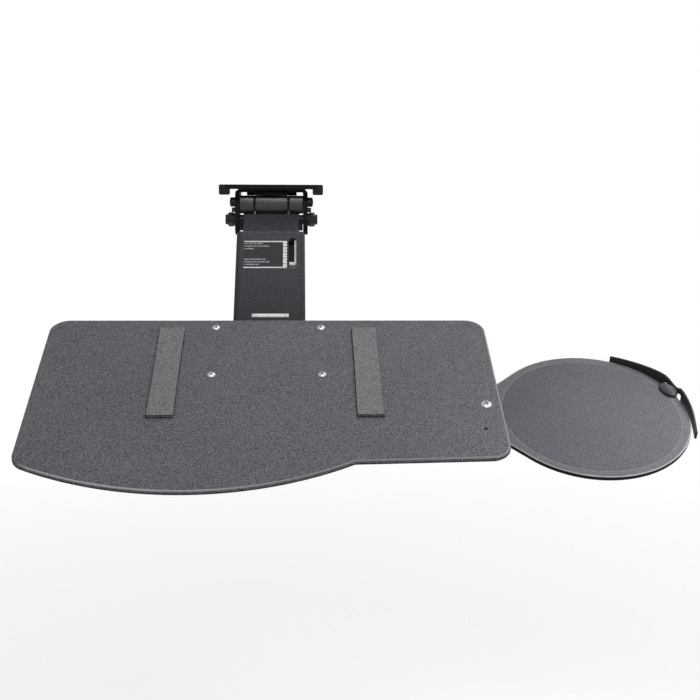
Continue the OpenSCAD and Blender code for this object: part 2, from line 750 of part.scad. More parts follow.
// Arm: pressed steel channel with a joggled tongue and two lugs on the spring shaft
module arm_channel() color("#46464a") on_arm() difference() {
    union() {
        intersection() {
            translate([0, 0, skin_rise]) rotate([90, 0, 0]) linear_extrude(arm_len + 2 * arm_end_r)
                bent_sheet(arm_w, 3 * arm_end_r, arm_bend_r, arm_t, arm_t);
            across(-arm_half, arm_half) arm_side();
            translate([0, 0, -3 * arm_end_r]) linear_extrude(6 * arm_end_r) arm_plan();
        }
        translate([-tongue_w / 2, -skin_start - arm_t, tongue_low])
            cube([tongue_w, skin_start + arm_t - tongue_start, arm_t]);
        translate([-tongue_w / 2, -skin_start - arm_t - skin_corner_r, tongue_low])
            cube([tongue_w, arm_t, skin_rise - arm_t / 2 - tongue_low]);
        translate([-tongue_w / 2, -skin_start - arm_t - skin_corner_r, tongue_low])
            cube([tongue_w, skin_corner_r + arm_t, arm_t]);
        both_sides(lug_x - lug_t / 2, lug_x + lug_t / 2) lug_side();
        both_sides(tongue_w / 2 - arm_t / 2, shoulder_out)
            translate([-shoulder_start - shoulder_len, shoulder_low]) square([shoulder_len, 1.5 * arm_t]);
    }
    translate([pointer_x - 2 * pass, -skin_start - skin_corner_r - arm_t - cut, -tongue_drop])
        cube([pointer_w + 4 * pass, arm_t + 2 * cut, skin_low + tongue_drop]);
    bar_x(lug_bush_d + 2 * fit, -lug_x - lug_t, lug_x + lug_t);
    translate([0, -arm_len, -arm_end_drop]) bar_x(tilt_bolt_d + 2 * fit, -arm_half - cut, arm_half + cut);
    translate([window_x, -window_start - window_len, skin_low - cut]) linear_extrude(arm_t + 2 * cut) {
        translate([-window_w / 2, window_w / 2]) square([window_w, window_len - window_w]);
        translate([0, window_w / 2]) circle(d = window_w);
        translate([0, window_len - window_w / 2]) circle(d = window_w);
    }
}

// Bronze bushes in the arm's lugs
module arm_bushes() color("#a5824a") on_arm() {
    tube_x(lug_bush_d, shaft_d + 2 * fit, lug_x - lug_t / 2, lug_x + lug_t / 2);
    tube_x(lug_bush_d, shaft_d + 2 * fit, -lug_x - lug_t / 2, -lug_x + lug_t / 2);
}

// Printed height scale beside the window
module scale_label() color("#e8e8e8") on_arm()
    translate([-scale_left, -scale_start - scale_len, skin_rise])
        cube([scale_left + scale_right, scale_len, label_t]);

// Plain label at the arm's lower end
module lower_label() color("#f2f2f2") on_arm()
    translate([-low_label_w / 2 + 1, -low_label_start - low_label_len, skin_rise])
        cube([low_label_w, low_label_len, label_t]);

// Side view of the link: a strip with a round eye at each end
module link_side() {
    translate([-link_len, -link_rise]) square([link_len, 2 * link_rise]);
    circle(link_eye_r);
    translate([-link_len, 0]) circle(link_eye_r);
}

// Link: the lower bar of the parallelogram, a channel that opens downwards
module link_channel() color("#515155") on_link() difference() {
    union() {
        both_sides(link_half - link_t, link_half) link_side();
        translate([-link_half, link_web_in - link_len, link_rise - link_t])
            cube([link_w, link_len - 2 * link_web_in, link_t]);
    }
    bar_x(link_bush_d + 2 * fit, -link_half - cut, link_half + cut);
    translate([0, -link_len, 0]) bar_x(head_pin_d + 2 * loose_fit, -link_half - cut, link_half + cut);
}

// Bronze bushes in the link's rear eyes
module link_bushes() color("#a5824a") on_link() {
    tube_x(link_bush_d, link_rod_d + 2 * fit, link_half - link_t, link_half);
    tube_x(link_bush_d, link_rod_d + 2 * fit, -link_half, -link_half + link_t);
}

// Height pointer: a white strip that rides on the link and shows in the arm's window
module height_pointer() color("#f4f4f4") on_link() {
    translate([pointer_x, pointer_y, pointer_top - pointer_t]) cube([pointer_w, pointer_len, pointer_t]);
    translate([pointer_x + pointer_w - pointer_foot_w, pointer_y, pointer_top - pointer_t])
        cube([pointer_foot_w, 1.8 * pointer_w, pointer_t]);
    translate([pointer_x + pointer_w - pointer_foot_w, pointer_y, link_rise])
        cube([pointer_foot_w, pointer_t, pointer_top - link_rise]);
}

// Side view of the tilt head: two pivots one above the other
module head_side() {
    circle(head_r);
    translate([0, -pivot_pitch]) circle(head_r);
    translate([-head_front, -pivot_pitch]) square([head_front + head_r - 2, pivot_pitch]);
}

// Tilt head: a steel saddle between arm, link and tray that keeps its angle as the arm moves
module tilt_head() color("#3a3a3d") on_head() difference() {
    union() {
        both_sides(head_half - head_t, head_half) head_side();
        translate([-head_half, -head_front, -pivot_pitch]) cube([head_w, head_t, pivot_pitch]);
    }
    bar_x(tilt_bolt_d + 2 * fit, -head_half - cut, head_half + cut);
    translate([0, 0, -pivot_pitch]) bar_x(head_pin_d + 2 * fit, -head_half - cut, head_half + cut);
}

// Pin between the head and the link, headed at both ends
module head_pin() color("#77777b") on_head() translate([0, 0, -pivot_pitch]) {
    bar_x(head_pin_d, -head_half - 1, head_half + 1);
    for (s = [-1, 1]) translate([s * head_half, 0, 0]) rotate([0, s * 90, 0])
        cylinder(d = head_pin_d + 3, h = 1);
}

// Tilt bolt with a hexagon head on the right
module tilt_bolt() color("#77777b") on_head() {
    bar_x(tilt_bolt_d, -tray_ear_out - big_nut_h - 2, tray_ear_out + 1);
    translate([tray_ear_out, 0, 0]) rotate([0, 90, 0]) hexagon(big_nut_af, tilt_head_h);
}

module tilt_nut() color("#77777b") on_head() translate([-tray_ear_out, 0, 0]) rotate([0, -90, 0])
    lock_nut(big_nut_af, big_nut_h - big_collar_h, big_collar_d, big_collar_h, tilt_bolt_d + 2 * fit);

// Tube that keeps the head's cheeks apart on the tilt bolt
module tilt_spacer() color("#3f3f42") on_head()
    tube_x(tilt_bolt_d + 2 * fit + 4, tilt_bolt_d + 2 * fit, -head_half + head_t, head_half - head_t);

// Nylon washers between head and arm, and between arm and tray bracket
module tilt_inner_washers() color("#d8d6cf") on_head() {
    tube_x(2 * head_r - 2, tilt_bolt_d + 2 * fit, head_half, arm_in);
    tube_x(2 * head_r - 2, tilt_bolt_d + 2 * fit, -arm_in, -head_half);
}

module tilt_outer_washers() color("#d8d6cf") on_head() {
    tube_x(2 * tray_ear_r - 1, tilt_bolt_d + 2 * fit, arm_half, tray_ear_in);
    tube_x(2 * tray_ear_r - 1, tilt_bolt_d + 2 * fit, -tray_ear_in, -arm_half);
}

// Side view of a tray bracket ear: an eye on the tilt bolt that runs forward as a rib under the plate
module tray_ear_side() {
    circle(tray_ear_r);
    plate_under = tilt_drop - tray_bracket_t;
    plate_mid = tilt_drop - tray_bracket_t / 2;
    rear = -tilt_back - tray_plate_rear;
    front = -tilt_back - tray_plate_front;
    polygon([
        [rear, plate_mid], [front, plate_mid], [front, plate_under - ear_tail_drop / 2],
        [(rear + front) / 2, plate_under - 2 * ear_tail_drop], [-4, -9], [4, 9]
    ]);
}

// Tray bracket: a plate under the board with two ears on the tilt bolt
module tray_bracket() color("#2b2a2e") difference() {
    union() {
        on_tray() both_sides(tray_ear_in, tray_ear_out) tray_ear_side();
        on_board() translate([-tray_plate_half, -tray_plate_front, -board_t - tray_bracket_t])
            cube([2 * tray_plate_half, tray_plate_front - tray_plate_rear, tray_bracket_t]);
    }
    on_tray() bar_x(tilt_bolt_d + 2 * fit, -tray_ear_out - cut, tray_ear_out + cut);
    at_board_screws() translate([0, 0, -board_t - tray_bracket_t - cut])
        cylinder(d = board_screw_d + 2 * fit, h = tray_bracket_t + 2 * cut);
}

// The four board screws' places, on the board's top face
module at_board_screws() {
    on_board() translate([0, -screw_rear - screw_pitch_y / 2, 0])
        for (p = corners(screw_pitch_x, screw_pitch_y)) translate(p) children();
}

// Outline of the board: round corners, a bowed front on the left and a straight front on the right
module board_plan() {
    left_x = corner_r - board_half;
    right_x = board_half - corner_r;
    left_y = bow_y - sqrt((bow_r - corner_r) ^ 2 - (left_x + bow_left) ^ 2);
    right_y = (right_x - kink_x) * tan(front_tilt) - board_d + corner_r / cos(front_tilt);
    left_turn = 360 + atan2(left_y - bow_y, left_x + bow_left);
    kink_turn = 360 + atan2(-board_d - bow_y, kink_x + bow_left);
    polygon(concat(
        arc(right_x, -corner_r, corner_r, 0, 90, arc_steps),
        arc(left_x, -corner_r, corner_r, 90, 180, arc_steps),
        arc(left_x, left_y, corner_r, 180, left_turn, arc_steps),
        arc(-bow_left, bow_y, bow_r, left_turn + 1, kink_turn, 3 * arc_steps),
        arc(right_x, right_y, corner_r, front_tilt - 90, 0, arc_steps)
    ));
}

// Board: a thin hard panel with the holes of its screws
module tray_board() color("#65676b") difference() {
    on_board() translate([0, 0, -board_t]) linear_extrude(board_t) board_plan();
    at_board_screws() translate([0, 0, -board_t - cut])
        cylinder(d = board_screw_d + 2 * fit, h = board_t + 2 * cut);
    on_platform() translate([0, 0, mouse_spacer_h - cut])
        cylinder(d = mouse_screw_d + 2 * fit, h = board_t + 2 * cut);
    on_board() translate([board_half - mouse_in - spare_hole_x, -mouse_rear - spare_hole_y, -board_t - cut])
        cylinder(d = spare_hole_d, h = board_t + 2 * cut);
}

// Foam pad on the board
module pad(side) color("#727274") on_board()
    translate([side * pad_x - pad_w / 2, -pad_rear - pad_len, 0]) cube([pad_w, pad_len, pad_t]);

module pad_left() pad(-1);
module pad_right() pad(1);

// Screws through board and bracket, with a cross recess
module board_screws() color("#c9c9cc") at_board_screws() difference() {
    union() {
        cylinder(d = board_screw_head_d, h = board_screw_head_h);
        translate([0, 0, -board_t - tray_bracket_t - board_nut_h - 1])
            cylinder(d = board_screw_d, h = board_t + tray_bracket_t + board_nut_h + 1 + cut);
    }
    cross_recess(board_screw_head_d, board_screw_head_h);
}

// Cross recess in a screw head of the given size
module cross_recess(d, h) {
    for (a = [0, 90]) rotate([0, 0, a]) translate([0, 0, h]) cube([0.5 * d, 0.12 * d, h], center = true);
}

module board_nuts() color("#9a9a9e") at_board_screws()
    translate([0, 0, -board_t - tray_bracket_t - board_nut_h]) difference() {
        hexagon(board_nut_af, board_nut_h);
        translate([0, 0, -cut]) cylinder(d = board_screw_d + 2 * fit, h = board_nut_h + 2 * cut);
    }

// Pivot screw of the mouse platform
module mouse_pivot_screw() color("#c9c9cc") on_platform() difference() {
    union() {
        translate([0, 0, mouse_spacer_h + board_t]) cylinder(d = mouse_screw_head_d, h = mouse_screw_head_h);
        translate([0, 0, -mouse_screw_end])
            cylinder(d = mouse_screw_d, h = mouse_screw_end + mouse_spacer_h + board_t + cut);
    }
    translate([0, 0, mouse_spacer_h + board_t]) cross_recess(mouse_screw_head_d, mouse_screw_head_h);
}

module mouse_spacer() color("#d8d6cf") on_platform() difference() {
    cylinder(d = mouse_spacer_d, h = mouse_spacer_h);
    translate([0, 0, -cut]) cylinder(d = mouse_screw_d + 2 * fit, h = mouse_spacer_h + 2 * cut);
}

module mouse_washer() color("#9a9a9e") on_platform() translate([0, 0, -disc_t - mouse_washer_t])
    difference() {
        cylinder(d = mouse_spacer_d, h = mouse_washer_t);
        translate([0, 0, -cut]) cylinder(d = mouse_screw_d + 2 * fit, h = mouse_washer_t + 2 * cut);
    }

module mouse_nut() color("#9a9a9e") on_platform() translate([0, 0, -disc_t - mouse_washer_t])
    rotate([180, 0, 0])
        lock_nut(mouse_nut_af, 0.6 * mouse_nut_h, mouse_nut_af - 1, 0.4 * mouse_nut_h, mouse_screw_d + 2 * fit);

// Places a child at the guard's button, on the platform's top face, +X pointing out over the rim
module at_button() {
    on_platform() translate([disc_reach, 0, 0]) rotate([0, 0, guard_turn])
        translate([button_at, 0, 0]) children();
}

// Oval prism: two round sides, with its ends cut round
module oval(w, l, h) {
    tip = l / 2 + 2;
    side_r = (tip ^ 2 + (w / 2) ^ 2) / w;
    intersection() {
        cylinder(d = l, h = h);
        translate([side_r - w / 2, 0, 0]) cylinder(r = side_r, h = h);
        translate([w / 2 - side_r, 0, 0]) cylinder(r = side_r, h = h);
    }
}

// Mouse platform: a round plate with a tapering neck on the pivot screw
module mouse_platform() color("#6d6d70") difference() {
    on_platform() translate([0, 0, -disc_t]) linear_extrude(disc_t) polygon(concat(
        arc(disc_reach, 0, disc_r, -neck_turn, neck_turn, 6 * arc_steps),
        arc(0, 0, neck_r, neck_turn, 360 - neck_turn, arc_steps)
    ));
    on_platform() translate([0, 0, -disc_t - cut])
        cylinder(d = mouse_screw_d + 2 * fit, h = disc_t + 2 * cut);
    at_button() translate([0, 0, -disc_t - cut])
        cylinder(d = button_stem_d + 2 * fit, h = disc_t + 2 * cut);
    on_platform() translate([disc_reach, 0, -rim_h]) cylinder(r = mat_r + pass, h = rim_h + cut);
}

// Mat in the platform's recess
module mouse_mat() color("#727176")
    on_platform() translate([disc_reach, 0, -rim_h]) cylinder(r = mat_r, h = mat_t);

// The guard's wall at an angle from its button: radius, underside and top.
// It bulges around the button, where only a low strap with a notch on each side is left,
// and its wing on the user's side flares out
function guard_r(a) = disc_r + guard_gap + guard_bulge * exp(-(a / strap_half) ^ 2)
    + guard_flare * max(0, (-a - guard_half / 2) / (guard_half / 2)) ^ 3;
function guard_under(a) = -0.6 * disc_t
    + notch_h * (1 - strap_share(a)) / (1 + exp(8 * (abs(a) - (a < 0 ? notch_near : notch_far))));
function wing_top(a) = guard_low + (guard_high - guard_low)
    * min(1, max(0, (guard_half - abs(a)) / (guard_half - strap_half))) ^ 1.6;
function strap_share(a) = exp(-(a / strap_half) ^ 2);
function guard_top(a) = wing_top(a) + (guard_strap - wing_top(a)) * strap_share(a);
function guard_ring(a) = let (r = guard_r(a), c = [cos(a), sin(a)]) [
    [r * c[0], r * c[1], guard_under(a)],
    [(r + guard_wall) * c[0], (r + guard_wall) * c[1], guard_under(a)],
    [(r + guard_wall) * c[0], (r + guard_wall) * c[1], guard_top(a)],
    [r * c[0], r * c[1], guard_top(a)]
];
guard_points = [for (i = [0:guard_steps]) each guard_ring(guard_half * (2 * i / guard_steps - 1))];
guard_faces = concat(
    [for (i = [0:guard_steps - 1]) for (k = [0:3]) [4 * i + k, 4 * i + (k + 1) % 4, 4 * i + 4 + k]],
    [for (i = [0:guard_steps - 1]) for (k = [0:3])
        [4 * i + (k + 1) % 4, 4 * i + 4 + (k + 1) % 4, 4 * i + 4 + k]],
    [[0, 2, 1], [0, 3, 2]],
    [for (k = [1, 2]) [4 * guard_steps, 4 * guard_steps + k, 4 * guard_steps + k + 1]]
);

// Mouse guard: a curved wall beside the rim, with a tab that the button holds down
module mouse_guard() color("#1e1e20") difference() {
    union() {
        on_platform() translate([disc_reach, 0, 0]) rotate([0, 0, guard_turn])
            polyhedron(guard_points, guard_faces);
        at_button() {
            translate([button_out, 0, 0])
                oval(button_w + 2 * tab_margin, button_len + 2 * tab_margin, guard_tab_t);
            translate([0, -button_w / 4, 0])
                cube([guard_r(0) + guard_wall / 2 - button_at, button_w / 2, guard_tab_t]);
        }
    }
    at_button() translate([0, 0, -cut]) cylinder(d = button_stem_d + 2 * fit, h = guard_tab_t + 2 * cut);
}

// Domed oval button whose stem holds the guard on the platform
module guard_button() color("#59585c") at_button() {
    fall = button_h - button_edge;
    dome_r = ((button_len / 2) ^ 2 + fall ^ 2) / (2 * fall);
    translate([button_out, 0, guard_tab_t]) intersection() {
        translate([0, 0, button_h - dome_r]) sphere(dome_r);
        oval(button_w, button_len, button_h + cut);
    }
    translate([0, 0, -disc_t - collar_t - 1])
        cylinder(d = button_stem_d, h = disc_t + collar_t + guard_tab_t + 2);
}

// Push-on collar on the stem under the platform
module button_collar() color("#3a3a3c") at_button() translate([0, 0, -disc_t - collar_t]) difference() {
    cylinder(d = collar_d, h = collar_t);
    translate([0, 0, -cut]) cylinder(d = button_stem_d + 2 * fit, h = collar_t + 2 * cut);
}

mount_plate();
glide_left();
glide_right();
glide_screws();
swivel_bearing();
swivel_retainer();
swivel_rivet();
swivel_bracket();
spring_shaft();
shaft_cap();
spring_cover_left();
spring_cover_centre();
spring_cover_right();
torsion_spring_left();
torsion_spring_right();
anchor_pins();
link_pivot_rod();
link_pivot_washers();
link_pivot_nuts();
link_spacers();
arm_channel();
arm_bushes();
scale_label();
lower_label();
link_channel();
link_bushes();
height_pointer();
tilt_head();
head_pin();
tilt_bolt();
tilt_nut();
tilt_spacer();
tilt_inner_washers();
tilt_outer_washers();
tray_bracket();
tray_board();
pad_left();
pad_right();
board_screws();
board_nuts();
mouse_pivot_screw();
mouse_spacer();
mouse_washer();
mouse_nut();
mouse_platform();
mouse_mat();
mouse_guard();
guard_button();
button_collar();
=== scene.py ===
import bmesh
import bpy
import numpy as np
from mathutils import Matrix


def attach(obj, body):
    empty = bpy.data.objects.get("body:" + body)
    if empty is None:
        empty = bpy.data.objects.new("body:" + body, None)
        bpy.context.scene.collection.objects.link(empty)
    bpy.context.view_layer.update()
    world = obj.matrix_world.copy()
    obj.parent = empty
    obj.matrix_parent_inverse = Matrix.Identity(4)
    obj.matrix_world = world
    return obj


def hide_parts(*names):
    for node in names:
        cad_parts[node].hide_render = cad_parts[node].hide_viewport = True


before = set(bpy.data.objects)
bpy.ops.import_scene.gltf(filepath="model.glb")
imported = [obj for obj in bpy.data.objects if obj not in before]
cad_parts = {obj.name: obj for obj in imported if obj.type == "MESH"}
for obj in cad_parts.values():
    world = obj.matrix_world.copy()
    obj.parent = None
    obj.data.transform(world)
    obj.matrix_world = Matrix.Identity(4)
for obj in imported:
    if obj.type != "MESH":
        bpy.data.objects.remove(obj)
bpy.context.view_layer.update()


# Studio: the arm hangs in the air as if screwed to a desk, over a plain pale floor, and white shows to
# the camera and in reflections. A soft lamp overhead lights the board, a strip above the desk's front
# edge reaches in under the plate, and weak fills open the shadows, one of them just over the mouse mat.
CAMERA_AT = (0.03646423, -1.71576565, -0.00171834)
CAMERA_YAW, CAMERA_PITCH, CAMERA_ROLL = np.radians([2.4871, 7.7194, -0.25523])
CAMERA_LENS, CAMERA_SENSOR = 62.137, 36.0
SKY_LIGHT = 0.2
FLOOR_Z, FLOOR_HALF = -0.72, 9.0
POOL_IN, POOL_OUT, POOL_WHITE = 0.8, 1.6, 0.8


def add(tree, kind, props=None, **inputs):
    """A shader node with its properties set and its inputs given as values or as other nodes' sockets.
    An input is named with underscores for spaces, or as i and its number."""
    node = tree.nodes.new(kind)
    for key, value in (props or {}).items():
        setattr(node, key, value)
    for key, value in inputs.items():
        place = int(key[1:]) if key[0] == "i" and key[1:].isdigit() else key.replace("_", " ")
        if isinstance(value, bpy.types.NodeSocket):
            tree.links.new(value, node.inputs[place])
        else:
            node.inputs[place].default_value = value
    return node


def maths(tree, operation, *values):
    """The socket of one sum on numbers or sockets."""
    return add(tree, "ShaderNodeMath", {"operation": operation},
               **{f"i{n}": value for n, value in enumerate(values)}).outputs[0]


def spread(tree, value, low, high, to_low=0.0, to_high=1.0):
    """A value taken from one range to another and held inside it."""
    return add(tree, "ShaderNodeMapRange", i0=value, i1=low, i2=high, i3=to_low, i4=to_high).outputs[0]


def shows_white(tree):
    """One for rays that show the surroundings: from the camera, in a reflection or through glass."""
    path = add(tree, "ShaderNodeLightPath").outputs
    seen = maths(tree, "MAXIMUM", path["Is Camera Ray"], path["Is Glossy Ray"])
    return maths(tree, "MAXIMUM", seen, path["Is Transmission Ray"])


def camera_axes(yaw, pitch, roll):
    """Right, up and back of a camera that looks along +Y, is turned right by yaw and down by pitch, and
    is then rolled."""
    ahead = np.array([np.sin(yaw) * np.cos(pitch), np.cos(yaw) * np.cos(pitch), -np.sin(pitch)])
    right = np.array([np.cos(yaw), -np.sin(yaw), 0.0])
    down = np.cross(ahead, right)
    return right * np.cos(roll) + down * np.sin(roll), right * np.sin(roll) - down * np.cos(roll), -ahead


def standing(axes, at):
    """The matrix of an object with these three axes at a place."""
    pose = np.eye(4)
    pose[:3, :3] = np.column_stack(axes)
    pose[:3, 3] = at
    return Matrix(pose.tolist())


camera = bpy.data.objects.new("camera", bpy.data.cameras.new("camera"))
camera.data.lens = CAMERA_LENS
camera.data.sensor_width = CAMERA_SENSOR
camera.matrix_world = standing(camera_axes(CAMERA_YAW, CAMERA_PITCH, CAMERA_ROLL), CAMERA_AT)
bpy.context.scene.collection.objects.link(camera)
bpy.context.scene.camera = camera
bpy.context.scene.view_settings.view_transform = "Standard"

world = bpy.data.worlds.new("studio")
world.use_nodes = True
tree = world.node_tree
tree.nodes.clear()
dim = add(tree, "ShaderNodeBackground", Color=(1, 1, 1, 1), Strength=SKY_LIGHT)
white = add(tree, "ShaderNodeBackground", Color=(1, 1, 1, 1), Strength=1.0)
sky = add(tree, "ShaderNodeMixShader", i0=shows_white(tree), i1=dim.outputs[0], i2=white.outputs[0])
add(tree, "ShaderNodeOutputWorld", Surface=sky.outputs[0])
bpy.context.scene.world = world

floor_paint = bpy.data.materials.new("floor_paint")
floor_paint.use_nodes = True
tree = floor_paint.node_tree
tree.nodes.clear()
far = add(tree, "ShaderNodeVectorMath", {"operation": "LENGTH"},
          i0=add(tree, "ShaderNodeTexCoord").outputs["Object"]).outputs["Value"]
glow = maths(tree, "MULTIPLY", shows_white(tree), spread(tree, far, POOL_IN, POOL_OUT, POOL_WHITE, 1.0))
both = add(tree, "ShaderNodeMixShader", i0=glow,
           i1=add(tree, "ShaderNodeBsdfDiffuse", Color=(0.9, 0.9, 0.9, 1)).outputs[0],
           i2=add(tree, "ShaderNodeEmission", Color=(1, 1, 1, 1), Strength=1.0).outputs[0])
add(tree, "ShaderNodeOutputMaterial", Surface=both.outputs[0])
floor_mesh = bpy.data.meshes.new("floor")
square = FLOOR_HALF * np.array([(-1, -1), (1, -1), (1, 1), (-1, 1)])
floor_mesh.from_pydata([(x, y, FLOOR_Z) for x, y in square], [], [(0, 1, 2, 3)])
floor_mesh.materials.append(floor_paint)
floor = bpy.data.objects.new("floor", floor_mesh)
bpy.context.scene.collection.objects.link(floor)


def lamp(name, at, look, width, height, power, beam=180):
    """A soft oblong lamp that looks at a point, with its light kept to a beam given in degrees."""
    light = bpy.data.lights.new(name, "AREA")
    light.shape = "RECTANGLE"
    light.size, light.size_y, light.energy, light.spread = width, height, power, np.radians(beam)
    back = np.array(at, float) - np.array(look, float)
    back /= np.linalg.norm(back)
    side = np.cross((0.0, 1.0, 0.2), back)
    side /= np.linalg.norm(side)
    holder = bpy.data.objects.new(name, light)
    holder.matrix_world = standing((side, np.cross(back, side), back), at)
    bpy.context.scene.collection.objects.link(holder)


lamp("overhead", (0.75, 0.25, 1.35), (0.1, -0.28, -0.2), 1.2, 1.2, 17)
lamp("key_strip", (0.15, -1.354, 0.677), (0.0, -0.05, -0.03), 1.2, 0.1, 8)
lamp("front_fill", (0.3, -2.4, 0.4), (0.05, -0.2, -0.2), 1.6, 1.6, 1.5)
lamp("side_fill", (0.74, -0.5, 0.28), (0.53, -0.4, -0.27), 0.2, 0.2, 0.36, 50)


# Mount plate: flat pressed steel, screwed up under the desk and powder coated black, like the
# swivel bracket, the disc that holds it, the tilt head and the bracket under the board.
# The coat is matt with a fine orange peel, and a little grey shows where edges are rubbed.
def tone(red, green, blue):
    """A colour given as it looks on a screen, turned to linear light."""
    c = np.array([red, green, blue]) / 255
    return (*np.where(c < 0.04045, c / 12.92, ((c + 0.055) / 1.055) ** 2.4).tolist(), 1.0)


def finish(name, dark, light, grain, rough, bump=0.1, depth=0.0002, detail=3.0, metal=0.0, gloss=0.5,
           worn=None, round_off=0.0, cloud=0.06, contrast=0.16, sheen=0.0):
    """A worked surface: grain noise runs from the dark to the light tone, makes the bump and moves the
    roughness between its two values; a broad cloud shades it, and a rounded edge shows the worn tone."""
    material = bpy.data.materials.new(name)
    material.use_nodes = True
    tree = material.node_tree
    shader = tree.nodes["Principled BSDF"]
    at = add(tree, "ShaderNodeTexCoord").outputs["Object"]
    speck = add(tree, "ShaderNodeTexNoise", Vector=at, Scale=grain, Detail=detail,
                Roughness=0.62).outputs["Fac"]
    drift = add(tree, "ShaderNodeTexNoise", Vector=at, Scale=9.0, Detail=2.0).outputs["Fac"]
    step = spread(tree, speck, 0.5 - contrast, 0.5 + contrast)
    colour = add(tree, "ShaderNodeMix", {"data_type": "RGBA"}, i0=step, i6=dark, i7=light).outputs[2]
    colour = add(tree, "ShaderNodeVectorMath", {"operation": "SCALE"}, i0=colour,
                 Scale=spread(tree, drift, 0.3, 0.7, 1 - cloud, 1 + cloud)).outputs[0]
    peel = add(tree, "ShaderNodeBump", Height=speck, Strength=bump, Distance=depth)
    if round_off:
        rounded = add(tree, "ShaderNodeBevel", {"samples": 4}, Radius=round_off).outputs[0]
        flat = add(tree, "ShaderNodeVectorMath", {"operation": "DOT_PRODUCT"}, i0=rounded,
                   i1=add(tree, "ShaderNodeNewGeometry").outputs["Normal"]).outputs["Value"]
        wear_and_painted_light = maths(tree, "MULTIPLY", spread(tree, flat, 0.995, 0.85, 0.0, 0.7), step)
        colour = add(tree, "ShaderNodeMix", {"data_type": "RGBA"}, i0=wear_and_painted_light, i6=colour,
                     i7=worn).outputs[2]
        tree.links.new(rounded, peel.inputs["Normal"])
    tree.links.new(colour, shader.inputs["Base Color"])
    tree.links.new(spread(tree, step, 0.0, 1.0, *rough), shader.inputs["Roughness"])
    tree.links.new(peel.outputs[0], shader.inputs["Normal"])
    shader.inputs["Metallic"].default_value = metal
    shader.inputs["Specular IOR Level"].default_value = gloss
    shader.inputs["Sheen Weight"].default_value = sheen
    return material


def paint(material, *nodes):
    """Gives CAD nodes this finish in place of their plain colour."""
    for name in nodes:
        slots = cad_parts[name].data.materials
        slots.clear()
        slots.append(material)


black_steel = finish("black_steel", tone(14, 14, 15), tone(22, 22, 23), 1400, (0.45, 0.6), bump=0.12,
                     gloss=0.1, worn=tone(52, 52, 55), round_off=0.0006)
paint(black_steel, "mount_plate", "swivel_retainer", "swivel_bracket", "tray_bracket", "tilt_head")


# Edge glides: two moulded nylon blocks in a satin black at the plate's front corners, each
# held by a countersunk screw. Their outer edges are chamfered, so a dull light runs along them.
glide_plastic = finish("glide_plastic", tone(30, 30, 30), tone(39, 39, 39), 900, (0.4, 0.52), bump=0.08,
                       gloss=0.12, worn=tone(56, 56, 56), round_off=0.0012)
paint(glide_plastic, "glide_left", "glide_right", "button_collar", "swivel_bearing")


# Rods, pins, springs and tubes inside the mechanism: drawn steel, blackened and oiled.
# Drawing marks make the grain, and the ends are rubbed to a brownish grey.
dark_steel = finish("dark_steel", tone(34, 33, 35), tone(52, 51, 53), 2200, (0.3, 0.45), bump=0.1,
                    metal=0.3, gloss=0.35, worn=tone(104, 104, 106), round_off=0.0005)
paint(dark_steel, "glide_screws", "swivel_rivet", "torsion_spring_left", "torsion_spring_right",
      "anchor_pins", "link_pivot_rod", "link_pivot_washers", "link_spacers", "head_pin", "tilt_bolt",
      "tilt_nut", "tilt_spacer")


# Spring shaft: a steel rod through both ears with a domed head formed on its right end,
# and a domed cap pushed on its left end.
EAR_OUT = 50.2
SHAFT_Y, SHAFT_Z, SHAFT_R, SHAFT_OVER = -22.0, -24.008, 4.0, 5.8
CAP_R, CAP_EDGE_R, CAP_EDGE_H, CAP_DOME_R, CAP_DOME_H = 6.5, 2.2, 5.2, 9.2, -1.4
CAP_BORE_R, CAP_BORE_H = 4.06, 5.9


def piece(name, grids, materials, body, slot, *nodes, loop=True, across=False, kinds=None, sharp=40):
    """One object from grids of points, rows by columns by three, in millimetres: a quad between each four
    neighbours. Columns close on themselves with loop, rows with across; kinds gives each quad its material.
    Points that fall together at seams and poles are merged, and faces are pointed outwards."""
    points, quads, start = [], [], 0
    for grid in grids:
        index = np.arange(grid.shape[0] * grid.shape[1]).reshape(grid.shape[:2]) + start
        start += index.size
        index = np.hstack([index, index[:, :1]]) if loop else index
        index = np.vstack([index, index[:1]]) if across else index
        corners = [index[:-1, :-1], index[1:, :-1], index[1:, 1:], index[:-1, 1:]]
        quads.append(np.stack(corners, -1).reshape(-1, 4))
        points.append(grid.reshape(-1, 3))
    mesh = bpy.data.meshes.new(name)
    mesh.from_pydata((np.vstack(points) * 0.001).tolist(), [], np.vstack(quads).tolist())
    if kinds is not None:
        mesh.polygons.foreach_set("material_index", np.ravel(kinds).astype(np.int32))
    work = bmesh.new()
    work.from_mesh(mesh)
    bmesh.ops.remove_doubles(work, verts=work.verts, dist=1e-6)
    bmesh.ops.recalc_face_normals(work, faces=work.faces)
    work.to_mesh(mesh)
    work.free()
    mesh.shade_smooth()
    mesh.set_sharp_from_angle(angle=np.radians(sharp))
    for material in materials:
        mesh.materials.append(material)
    made = bpy.data.objects.new(name, mesh)
    bpy.context.scene.collection.objects.link(made)
    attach(made, body)
    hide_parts(*nodes)
    return made


def turned(profile, columns=64):
    """A profile of (radius, height) pairs carried round the Z axis."""
    r, z = np.array(profile, float).T
    a = np.linspace(0, 2 * np.pi, columns, endpoint=False)
    return np.stack([np.outer(r, np.cos(a)), np.outer(r, np.sin(a)), np.outer(z, np.ones(columns))], -1)


def quarter(r, z, radius, start, end, steps=6):
    """Pairs (radius, height) on a fillet's arc about a centre, between two angles in degrees."""
    a = np.radians(np.linspace(start, end, steps))
    return list(zip(r + radius * np.cos(a), z + radius * np.sin(a)))


def lying(points, side, y, z):
    """Points about the Z axis laid along X, to the right or the left, at a height."""
    return np.stack([side * points[..., 2], y + points[..., 0], z + points[..., 1]], -1)


